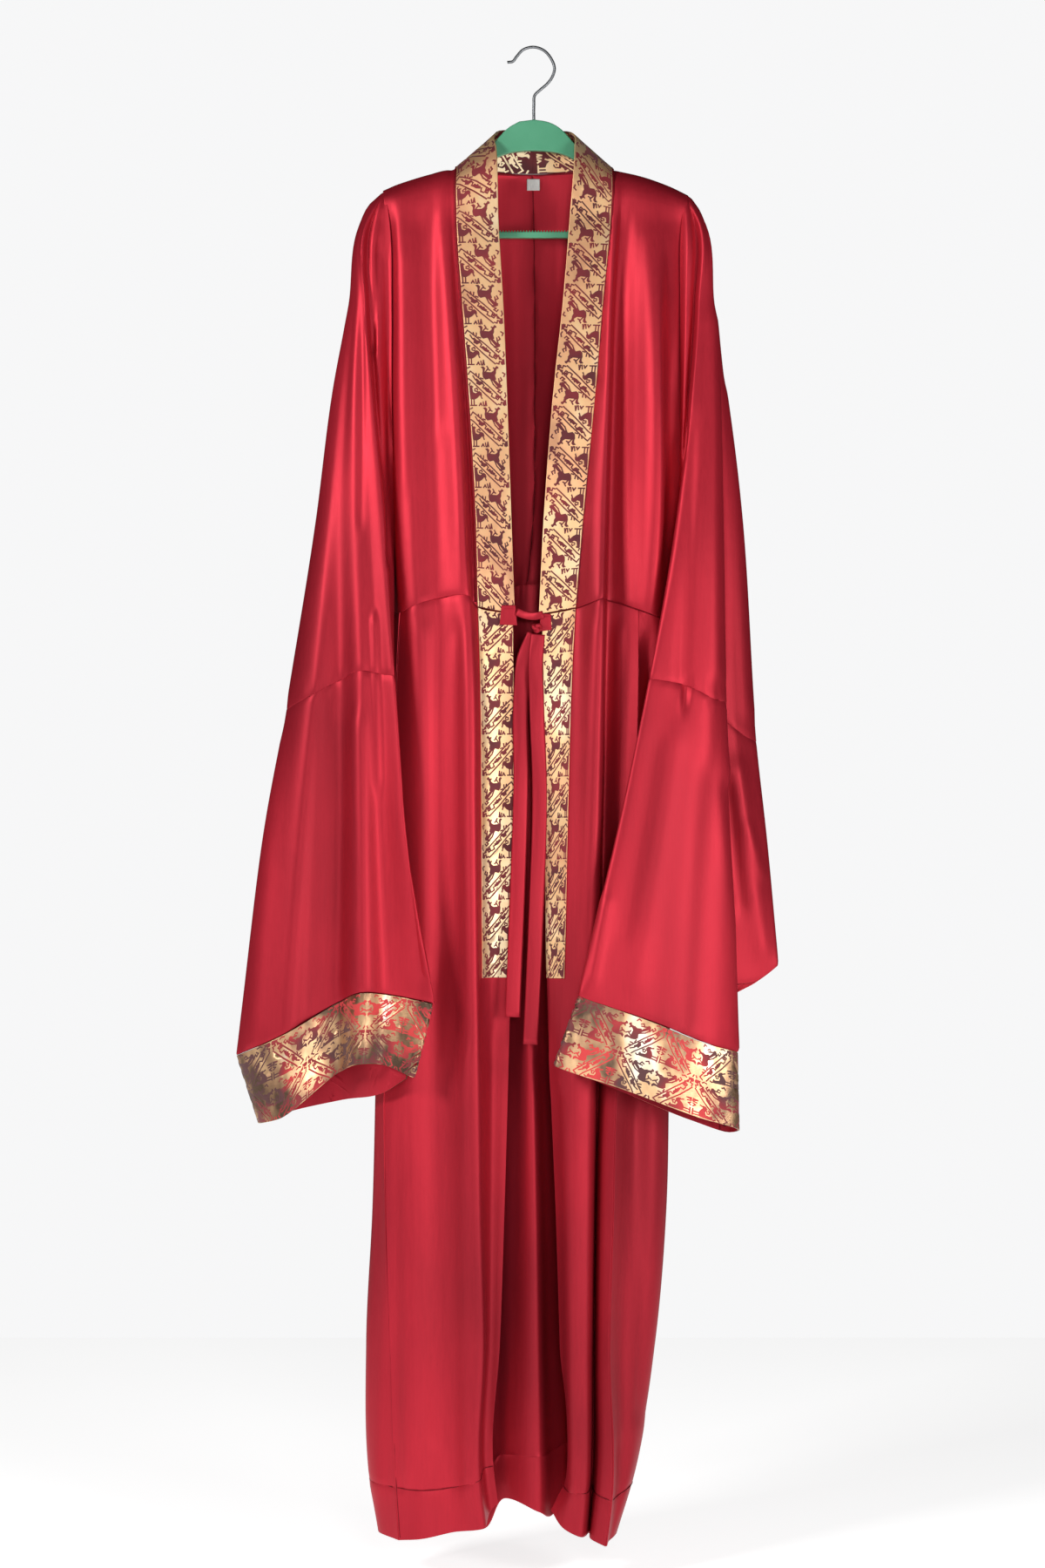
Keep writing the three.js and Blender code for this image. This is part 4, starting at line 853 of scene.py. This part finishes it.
figure_shapes = [
    [(16.8, 8.4), (17.2, 6.4), (20.6, 6.6), (27, 7.2), (30, 5.4), (32.8, 7.6), (31.2, 10.8), (32.4, 15),
     (29.4, 17.4), (26, 15.6), (24.6, 14.2), (20, 15.2), (17.4, 12.8)],
    [(15.2, 1.2), (18.4, 0.6), (20.4, 2.6), (19.4, 6.6), (17.4, 7), (17.4, 3.6)],
    [(29.6, 5.6), (31, 2.4), (34.4, 0.8), (35.4, 2.4), (33, 3.6), (32.4, 7.2)],
    [(28.6, 17.2), (31.6, 16.2), (35.6, 20.4), (38.6, 21.4), (38.2, 24.4), (33.6, 23.4)],
    [(0.9, 28.4), (0.9, 22.2), (3.6, 21.2), (6, 22.6), (4.4, 24), (5.2, 28.6), (8, 29.8), (12.2, 27.2),
     (14.8, 29.2), (15.4, 32.6), (12.4, 32.4), (9.8, 35), (5.8, 37), (1.4, 36)],
    [(7.6, 14.8), (10.4, 13.6), (13.2, 16.6), (16.6, 17.2), (16, 20), (12.2, 20.4)],
    [(16.8, 24.2), (19.8, 22.8), (23, 26), (26.4, 28), (25, 30.4), (20.8, 28.6)],
    [(11, 42.6), (12.2, 40.8), (13.4, 42.6)], [(38.2, 40.8), (42.6, 36.8), (43, 43.6), (38.6, 43.6)],
    [(31.4, 33.4), (33, 33), (33.8, 35), (32, 36)], [(35.4, 21), (37.4, 21.4), (37.6, 23.6), (35.6, 23.4)],
    [(9, 9.6), (10.4, 8.6), (11, 10.6), (9.8, 11.8)],
]


def bar(start, end, width):
    """The four corners of a drawn line, a little longer than its ends so that lines join."""
    way = np.array(end, float) - start
    way *= width / 2 / (np.linalg.norm(way) + 1e-9)
    side = np.array([-way[1], way[0]])
    return [start - way - side, end + way - side, end + way + side, start - way + side]


def repeat_shapes(left, top, flip_across, flip_down, width=COLLAR_WIDTH):
    """The outlines of one repeat, with its corner at left, top."""
    def put(point):
        across, down = np.array(point, float) * (width / COLLAR_WIDTH, 1)
        across = width - across if flip_across else across
        down = REPEAT - down if flip_down else down
        return np.array([left + across, top + down])

    shapes = [[put(p) for p in shape] for shape in figure_shapes]
    for line in figure_lines:
        shapes += [bar(put(p), put(q), THREAD) for p, q in zip(line, line[1:])]
    return shapes


def woven_face(width, length, shapes):
    """A flat band cut along the figures' outlines: its points, and triangles marked as figure or not."""
    outline = [Vector(corner) for corner in ((0, 0), (width, 0), (width, length), (0, length))]
    loops = [list(range(4))]
    for shape in shapes:
        area = sum(p[0] * q[1] - q[0] * p[1] for p, q in zip(shape, shape[1:] + shape[:1]))
        start = len(outline)
        outline += [Vector((float(p[0]), float(p[1]))) for p in (shape if area > 0 else shape[::-1])]
        loops.append(list(range(start, len(outline))))
    borders = []
    right, foot = width - BORDER, length - BORDER
    inner = [(BORDER, BORDER), (right, BORDER), (right, foot), (BORDER, foot)]
    for (a, b), (c, d) in zip(inner, inner[1:] + inner[:1]):
        start = len(outline)
        share = np.linspace(0, 1, max(2, round(math.hypot(c - a, d - b) / MESH_STEP)) + 1)
        outline += [Vector((a + (c - a) * t, b + (d - b) * t)) for t in share]
        borders += [(k, k + 1) for k in range(start, len(outline) - 1)]
    for across in np.linspace(0, width, max(2, round(width / MESH_STEP)) + 1):
        for down in np.linspace(0, length, max(2, round(length / MESH_STEP)) + 1):
            outline.append(Vector((float(across), float(down))))
    flat, _, triangles, _, _, parents = geometry.delaunay_2d_cdt(outline, borders, loops, 1, 1e-4, True)
    kept = [(t, len(p) > 1) for t, p in zip(triangles, parents) if 0 in p]
    return np.clip(np.array([tuple(p) for p in flat]), (0, 0), (width, length)), kept


def figured_cloth(name, width, length, shapes, lay, thickness, facing=1.0, lined=True, woven=None):
    """A woven band, closed at its edges, with gold and crimson on its face.

    lay gives the points in mm of the band's middle layer for places across and down it."""
    flat, kept = woven_face(width, length, shapes)
    across, down = flat.T
    steps = (-SLOPE_REACH, SLOPE_REACH)
    middle = lay(across, down)
    left, right = (lay(np.clip(across + step, 0, width), down) for step in steps)
    near, far = (lay(across, np.clip(down + step, 0, length)) for step in steps)
    normal = np.cross(right - left, far - near)
    normal *= facing / (np.linalg.norm(normal, axis=1, keepdims=True) + 1e-12)
    count = len(flat)
    points = np.concatenate([middle + normal * thickness / 2, middle - normal * thickness / 2]) * MM
    front = [list(t) for t, _ in kept]
    if facing < 0:
        front = [t[::-1] for t in front]
    edges = dict.fromkeys((a, b) for t in front for a, b in zip(t, t[1:] + t[:1]))
    rim = [[a, a + count, b + count, b] for a, b in edges if (b, a) not in edges]
    mesh = bpy.data.meshes.new(name)
    mesh.from_pydata(points.tolist(), [], front + [[i + count for i in t[::-1]] for t in front] + rim)
    for material in (*(woven or (gold_brocade, crimson_figures)), crimson):
        mesh.materials.append(material)
    slots = [1 if figure else 0 for _, figure in kept]
    slots += ([2] * len(front) if lined else [1 - slot for slot in slots]) + [0] * len(rim)
    mesh.polygons.foreach_set("material_index", slots)
    mesh.polygons.foreach_set("use_smooth", [True] * (2 * len(front)) + [False] * len(rim))
    piece = bpy.data.objects.new(name, mesh)
    bpy.context.collection.objects.link(piece)
    return piece


def line_through(name, x, y, z):
    """A fold line or an edge of a band, through these places."""
    return {"x": x, "y": y, "z": z}


# Both edges run from the left front's waist up, round the back of the neck and down to the right's.
collar = net([
    line_through("seam",
        [-60, -62, -70, -77, -83, -83, -82, -68, -43, 0, 50, 74, 85, 86, 84, 76, 68, 54, 46],
        [-37, -32, -27, -24, -19, -11, 0, 10, 16.5, 21.5, 15.5, 9, 0, -11, -19, -25, -29, -36, -41],
        [-610.5, -517, -374, -279, -194, -137, -128.5, -129, -132, -133.5, -131.5, -130, -130, -139,
         -194, -279, -374, -517, -611.5]),
    line_through("inner edge",
        [-19.5, -23, -28, -32, -37, -40, -42, -36, -21, 1, 23, 38, 45, 45, 39, 32, 22, 11, 6],
        [-37.5, -35, -32, -29, -25, -15, -2, 8, 14.5, 18.5, 14.5, 8, -2, -15, -26, -31, -36, -41, -46],
        [-618, -517, -374, -279, -194, -108, -95, -88, -86, -86, -87, -89, -95, -110,
         -194, -279, -374, -517, -619]),
])
COLLAR_BACK, COLLAR_END = 9, 18  # its places at the seam behind the neck and at the right front's waist


def distances(points):
    """How far along its line each point lies."""
    return np.concatenate([[0], np.cumsum(np.linalg.norm(np.diff(points, axis=0), axis=1))])


def band_lay(lines, last_line, levels, width, lift=0.0):
    """Where a band lies: a function from places across and down it to points, and its length."""
    steps = np.linspace(*levels, LAY_STEPS)
    travelled = distances(on_cloth(lines, np.full(LAY_STEPS, last_line / 2), steps))

    def lay(across, down):
        level = np.interp(down, travelled, steps)
        line = across / width * last_line
        if lift:
            return on_face(lines, line, level, lift, last_line, max(levels))
        return on_cloth(lines, line, level)

    return lay, travelled[-1]


def trimmed(lay, width):
    """The same lay for a band cut narrower by the trim at each edge."""
    return lambda across, down: lay(TRIM + across * (1 - 2 * TRIM / width), down)


for side, end, turned, facing in (("left", 0, False, -1.0), ("right", COLLAR_END, True, 1.0)):
    lay, length = band_lay(collar, 1, (COLLAR_BACK, end), COLLAR_WIDTH)
    tiles = [k * REPEAT for k in range(math.ceil(length / REPEAT))]
    shapes = [s for top in tiles for s in repeat_shapes(0, top + FIRST_REPEAT, False, turned)]
    piece = figured_cloth(
        f"brocade_collar_{side}", COLLAR_WIDTH, length, shapes, trimmed(lay, COLLAR_WIDTH), BAND, facing,
        lined=False,
    )
    hold(piece, f"collar_{side}", slot="brocade")

# The edges sewn into the collar show beside it as a narrow crimson ridge, overcast with thread. The seams
# down the back, down the left side and above the hem show as finer ridges of the same kind. All of them take
# the satin darkened to under half, which paints the shade along a seam.
RIDGE = 1.5  # radius of the ridge beside the collar
BACK_RIDGE = 0.7
FINE_RIDGE = 0.45
RIDGE_OUT = 1.1  # the collar's ridge runs this far outside the seam
OVERCAST = 2.6  # spacing of its stitches
RIDGE_POINTS = 420


def seam_ridge(name, points, radius=RIDGE):
    """An uneven overcast seam edge along points in mm, with a bulge at each stitch."""
    ridge = cord(name, points, radius, crimson_seam)
    places = np.array([v.co for v in ridge.data.vertices]) / MM
    middle = points[np.linalg.norm(places[:, None] - points[None], axis=2).argmin(axis=1)]
    swell = 1 + 0.16 * np.sin(places[:, 2] * 2 * math.pi / OVERCAST) + 0.12 * np.sin(places[:, 2] * 0.31 + 1)
    places = middle + (places - middle) * swell[:, None]
    ridge.data.vertices.foreach_set("co", (places * MM).ravel())
    return hold(ridge, slot="satin")


# The ridges' satin, darkened as painted shade.
crimson_seam = satin("crimson_seam", painted_shade=0.45)
for side, end in (("left", 0.05), ("right", COLLAR_END - 0.05)):
    steps = np.linspace(COLLAR_BACK, end, RIDGE_POINTS)
    outer, inner = (on_cloth(collar, np.full(RIDGE_POINTS, float(line)), steps) for line in (0, 1))
    outward = (outer - inner) / np.linalg.norm(outer - inner, axis=1, keepdims=True)
    seam_ridge(f"seam_ridge_{side}", outer + outward * RIDGE_OUT)
centre_back = on_cloth(back, np.full(RIDGE_POINTS, 6.0), np.linspace(0.3, 5.95, RIDGE_POINTS))
seam_ridge("seam_ridge_back", centre_back - (0, 0.9, 0), BACK_RIDGE)
down_the_side = np.linspace(0.2, HEM - 0.05, RIDGE_POINTS)
seam_ridge("seam_ridge_side", on_face(skirt_left, 6.0, down_the_side, CLOTH / 2), FINE_RIDGE)
for part, lines, facing in (("left", skirt_left, 1), ("right", skirt_right, -1), ("back", skirt_back, 1)):
    along = np.linspace(0.05, len(lines) - 1 - 0.05, RIDGE_POINTS)
    seam_ridge("seam_ridge_hem_" + part, on_face(lines, along, HEM_SEAM, facing * CLOTH / 2), FINE_RIDGE)

# ------------------------------------------------------------------------------------- lower bands
# Below the waist the same brocade goes on as a strip laid flat on each skirt front along its opening,
# down to the end of the sleeves. The pattern faces the other way on it.

STRIP = 1.2  # its thickness
STRIP_WIDTH = 36.0
STRIP_LEVELS = (0, 3)  # from the waist to the sleeves' end
LAID_GAP = 0.3  # between the strip and the skirt
for side, lines, last, facing in (("left", skirt_left, 2, 1), ("right", skirt_right, 1, -1)):
    lift = (CLOTH / 2 + LAID_GAP + STRIP / 2) * facing
    lay, length = band_lay(lines, last, STRIP_LEVELS, STRIP_WIDTH, lift)
    tiles = [k * REPEAT for k in range(math.ceil(length / REPEAT))]
    shapes = [s for top in tiles for s in repeat_shapes(0, top, side == "right", False, STRIP_WIDTH)]
    piece = figured_cloth(f"brocade_band_lower_{side}", STRIP_WIDTH, length, shapes, lay, STRIP, facing)
    hold(piece, f"band_lower_{side}", slot="brocade")

# ------------------------------------------------------------------------------------- cuffs
# Each cuff is a deep tube of the same brocade, two repeats of the pattern deep, with every second
# repeat turned about so that the figures face each other. It is sewn to the sleeve's lower end. Here
# the right one joins the folded sleeve on its front only, and its back hangs open below the sleeve.

# Each fold line has its place at the cuff's seam and at its end.
cuff_left = net([
    line_through("underarm", [-116, -134], [-66, -66], [-1034, -1112]),
    line_through("inner crest", [-107, -127], [-78, -78], [-1036, -1116]),
    line_through("valley", [-156, -163], [-58, -60], [-1028, -1103]),
    line_through("crest", [-181, -186], [-72, -72], [-1025, -1102]),
    line_through("hollow", [-209, -208], [-42, -44], [-1037, -1112]),
    line_through("ridge", [-272, -271], [-54, -56], [-1073, -1161]),
    line_through("shoulder fold", [-321, -297], [-18, -22], [-1096, -1169]),
    line_through("outer back", [-292, -268], [2, 0], [-1086, -1160]),
    line_through("back fold", [-236, -208], [-2, -4], [-1074, -1146]),
    line_through("inner back", [-174, -160], [-46, -46], [-1058, -1134]),
    line_through("back underarm", [-119, -136], [-63, -63], [-1042, -1118]),
])
cuff_right = net([
    line_through("underarm", [68, 40], [-70, -72], [-1032, -1104]),
    line_through("inner crest", [50, 23], [-86, -90], [-1027, -1101]),
    line_through("middle", [134, 106], [-84, -88], [-1058, -1131]),
    line_through("rise", [184, 178], [-70, -74], [-1079, -1159]),
    line_through("shoulder fold", [219.5, 221], [-50, -56], [-1091, -1174]),
    line_through("back edge", [206, 212], [-32, -38], [-1094, -1178]),
    line_through("back fold", [176, 172], [-28, -32], [-1082, -1166]),
    line_through("inner back", [112, 104], [-58, -58], [-1056, -1136]),
    line_through("back underarm", [71, 43], [-66, -68], [-1038, -1110]),
])

CUFF_DEPTH = 84.0
CUFF_ROWS = 2  # repeats of the pattern from the seam to the cuff's end
CUFF_TOP = 0.008  # it starts this share of its depth below the seam
CUFF_STEPS = 600  # places round the cuff at which its girth is measured
# The cuffs' gold runs from near black to near white, and their figures from near black to bright red: painted
# reflections and painted shade of the metal thread, stronger than on the collar.
cuff_gold = gold_thread("cuff_gold", 20.0, [
    (0.39, (0.14, 0.085, 0.055)), (0.48, (0.44, 0.25, 0.14)),
    (0.58, (0.82, 0.52, 0.28)), (0.68, (1.0, 0.88, 0.72)),
], 0.8)
cuff_figures = silk_figures("cuff_figures", 16.0, [
    (0.38, (0.10, 0.03, 0.03)), (0.5, (0.32, 0.018, 0.024)), (0.62, (0.70, 0.045, 0.045)),
])


def cuff_lay(lines):
    """Where a cuff lies, from places down it and round it, and its girth."""
    steps = np.linspace(0, len(lines) - 1, CUFF_STEPS)
    travelled = distances(on_cloth(lines, steps, np.full(CUFF_STEPS, 0.5)))
    girth = travelled[-1]

    def lay(down, around):
        line = np.interp(TRIM + around * (1 - 2 * TRIM / girth), travelled, steps)
        return on_cloth(lines, line, CUFF_TOP + down / CUFF_DEPTH * (1 - CUFF_TOP))

    return lay, girth


for side, lines, facing in (("left", cuff_left, 1.0), ("right", cuff_right, -1.0)):
    lay, girth = cuff_lay(lines)
    shapes = []
    for row in range(CUFF_ROWS):
        for k in range(math.ceil(girth / REPEAT)):
            turned = (k + row) % 2 == 1
            left = row * CUFF_DEPTH / CUFF_ROWS
            shapes += repeat_shapes(left, k * REPEAT, True, turned, CUFF_DEPTH / CUFF_ROWS)
    piece = figured_cloth(
        f"brocade_cuff_{side}", CUFF_DEPTH, girth, shapes, lay, BAND, -facing,
        woven=(cuff_gold, cuff_figures),
    )
    hold(piece, f"cuff_{side}", slot="brocade")

# ------------------------------------------------------------------------------------- tie
# A pair of satin ribbons closes the robe at the waist. Each is sewn under a small square patch on the
# band, and they are knotted once so that both tails hang down the middle.

RIBBON = 1.2  # thickness of the ribbon, folded once
KNOT_RADIUS = 2.3  # of the ribbon, pulled together in the knot
KNOT_LOOP = 1.5
PATCH_PUFF = 0.5  # a patch stands up this much inside its border
STITCH_PULL = 0.35  # and its row of stitches pulls it in this much


def patch(name, corners, back_face, node):
    """A small patch of satin with a soft edge, sewn down along its border."""
    (ax, az), (bx, bz), (cx, cz), (dx, dz) = corners
    s, t = np.meshgrid(np.linspace(0, 1, 17), np.linspace(0, 1, 21))
    x = (1 - t) * ((1 - s) * ax + s * bx) + t * ((1 - s) * dx + s * cx)
    z = (1 - t) * ((1 - s) * az + s * bz) + t * ((1 - s) * dz + s * cz)
    border = np.minimum(np.minimum(s, 1 - s), np.minimum(t, 1 - t))
    stitches = np.exp(-((border - 0.13) / 0.035) ** 2)
    puffed = PATCH_PUFF * np.clip(border * 6, 0, 1) - STITCH_PULL * stitches
    y = back_face - RIBBON / 2 - puffed
    piece = shell(name, np.stack([x, y, z], axis=2), RIBBON, -1, crimson)
    hold(piece, node, slot="satin")


patch("satin_tie_patch_left", [(-34, -609), (-19, -609), (-17, -631), (-36, -630)], -39.4, "tie_patch_left")
patch("satin_tie_patch_right", [(8, -618), (19, -619), (20, -636), (7, -638)], -48.9, "tie_patch_right")


def ribbon(name, node, points, width, curl, wave):
    """A flat ribbon along a route, its edges curled by an angle and its length lightly waved."""
    middle = route(points, max(12, int(distances(points)[-1] / 5)))
    way = np.gradient(middle, axis=0)
    across = np.stack([-way[:, 2], np.zeros(len(way)), way[:, 0]], axis=1)
    across /= np.linalg.norm(across, axis=1, keepdims=True)
    s = np.linspace(-1, 1, 9)
    travel = np.linspace(0, 1, len(middle))
    bow = curl * (s**2)[None] + wave * np.sin(travel * 21 + 1)[:, None] * s[None]
    grid = middle[:, None] + across[:, None] * (s * width / 2)[None, :, None]
    grid[..., 1] += bow
    piece = hold(shell(name, grid, RIBBON, 1, crimson), node, slot="satin")


ribbon(
    "satin_tie_bridge", "tie_bridge",
    [(-18, -41.6, -616), (-8, -45, -620), (2, -49.8, -621.5), (11, -51.6, -619.5)],
    8, 0.6, 0.2,
)
ribbon(
    "satin_tie_tail_left", "tie_tail_left",
    [(1.5, -53.2, -641), (-9, -51, -666), (-12.5, -49, -700),
     (-13, -48, -802), (-18, -48, -950), (-22, -48, -1053)],
    16, 1.4, 0.7,
)
ribbon(
    "satin_tie_tail_right", "tie_tail_right",
    [(5, -55.2, -641), (3, -56, -668), (4, -55, -720), (7, -54, -802), (3, -54, -950), (-3, -54, -1082)],
    15.5, 1.2, -0.8,
)
turns = np.linspace(0, 2 * math.pi, 91)
knot_route = np.stack([
    4 + KNOT_LOOP * (np.sin(turns) + 1.6 * np.sin(2 * turns)),
    -54.2 + KNOT_LOOP * np.sin(3 * turns),
    -634 + KNOT_LOOP * (np.cos(turns) - 1.6 * np.cos(2 * turns)),
], axis=1)
hold(cord("satin_tie_knot", knot_route, KNOT_RADIUS, crimson), "tie_knot", slot="satin")

# ------------------------------------------------------------------------------------- neck label
# A small blank label of white woven tape. It is sewn inside the back of the neck, close under the
# collar's seam, and its face shows through the neck opening.

TAPE = 0.8


def woven_tape():
    tape = Finish("label_tape", Specular_IOR_Level=0.3)
    ribs = tape.noise(1600.0, 2.0, stretch=(1, 1, 0.15))
    tape.set(Base_Color=tape.shades(ribs, [(0.3, (0.72, 0.69, 0.66)), (0.7, (0.88, 0.86, 0.83))]))
    tape.set(Roughness=0.65 + 0.2 * ribs)
    tape.bump(ribs, 0.4, 0.0003)
    return tape.material


s, t = np.meshgrid(np.linspace(-6.5, 7.5, 15), np.linspace(-139, -151.5, 14))
label_grid = np.stack([s, 19.6 + 0.25 * np.sin(s * 0.5), t], axis=2)
label = hold(shell("woven_neck_label", label_grid, TAPE, -1, woven_tape()), "neck_label", slot="label")

# ------------------------------------------------------------------------------------- studio
# A pale floor stands below the hem. The strongest light is large and soft, above and to the left in
# front of the robe, and two weaker ones fill in from the front and the right.

FLOOR = -1.66
floor_mesh = bpy.data.meshes.new("floor")
floor_corners = [(-3, -3, FLOOR), (3, -3, FLOOR), (3, 1.6, FLOOR), (-3, 1.6, FLOOR)]
floor_mesh.from_pydata(floor_corners, [], [(0, 1, 2, 3)])
floor = bpy.data.objects.new("floor", floor_mesh)
bpy.context.collection.objects.link(floor)
pale = Finish("pale_floor", Roughness=0.9, Emission_Color=(1, 1, 1, 1), Emission_Strength=0.8)
pale.set(Base_Color=pale.shades(pale.noise(3.0), [(0.0, (0.80, 0.80, 0.80)), (1.0, (0.86, 0.86, 0.86))]))
floor_mesh.materials.append(pale.material)

# The room's own light is faint, and a little stronger from the left in front of the robe. The camera
# sees a plain off-white wall in its place.
ROOM_LIT_FROM = (-0.6, -0.55, 0.55)
WALL = (0.93, 0.93, 0.935, 1)
world = bpy.data.worlds.new("studio")
bpy.context.scene.world = world
bpy.context.scene.view_settings.view_transform = "Standard"
world.use_nodes = True
room = Nodes(world.node_tree)
faint = room.tree.nodes["Background"]
way = room.node("ShaderNodeTexCoord", output="Generated")
lit_side = room.node(
    "ShaderNodeVectorMath", {"operation": "DOT_PRODUCT"}, {0: way, 1: ROOM_LIT_FROM}, output="Value",
)
room.feed(faint.inputs["Strength"], room.node("ShaderNodeMapRange", {}, {
    "Value": lit_side, "From Min": -1.0, "From Max": 1.0, "To Min": 0.05, "To Max": 0.36,
}))
seen = room.node("ShaderNodeLightPath", output="Is Camera Ray")
wall = room.node("ShaderNodeBackground", {}, {"Color": WALL})
both = room.node("ShaderNodeMixShader", {}, {0: seen, 1: Socket(room, faint.outputs[0]), 2: wall})
room.feed(room.tree.nodes["World Output"].inputs["Surface"], both)


def soft_light(name, at, towards, size, power):
    lamp = bpy.data.lights.new(name, "AREA")
    lamp.size = size
    lamp.energy = power
    light = bpy.data.objects.new(name, lamp)
    light.location = at
    light.rotation_euler = (Vector(towards) - Vector(at)).to_track_quat("-Z", "Y").to_euler()
    bpy.context.collection.objects.link(light)


soft_light("key", at=(-1.85, -1.75, 0.2), towards=(0, 0, -0.5), size=0.6, power=36)
soft_light("front", at=(0.3, -3.3, -0.5), towards=(0, 0, -0.7), size=0.5, power=16)
soft_light("fill", at=(1.2, -1.4, -0.8), towards=(0.22, 0, -0.9), size=0.6, power=13)

CAMERA_AWAY = 3.8
CAMERA_ACROSS, CAMERA_UP = -0.0114, -0.802
PICTURE_HEIGHT = 1.71  # what the camera takes in at the robe
camera_data = bpy.data.cameras.new("camera")
camera_data.sensor_fit = "VERTICAL"
camera_data.angle = 2 * math.atan(PICTURE_HEIGHT / 2 / CAMERA_AWAY)
camera = bpy.data.objects.new("camera", camera_data)
camera.location = (CAMERA_ACROSS, -CAMERA_AWAY, CAMERA_UP)
camera.rotation_euler = (math.pi / 2, 0, 0)
bpy.context.collection.objects.link(camera)
bpy.context.scene.camera = camera
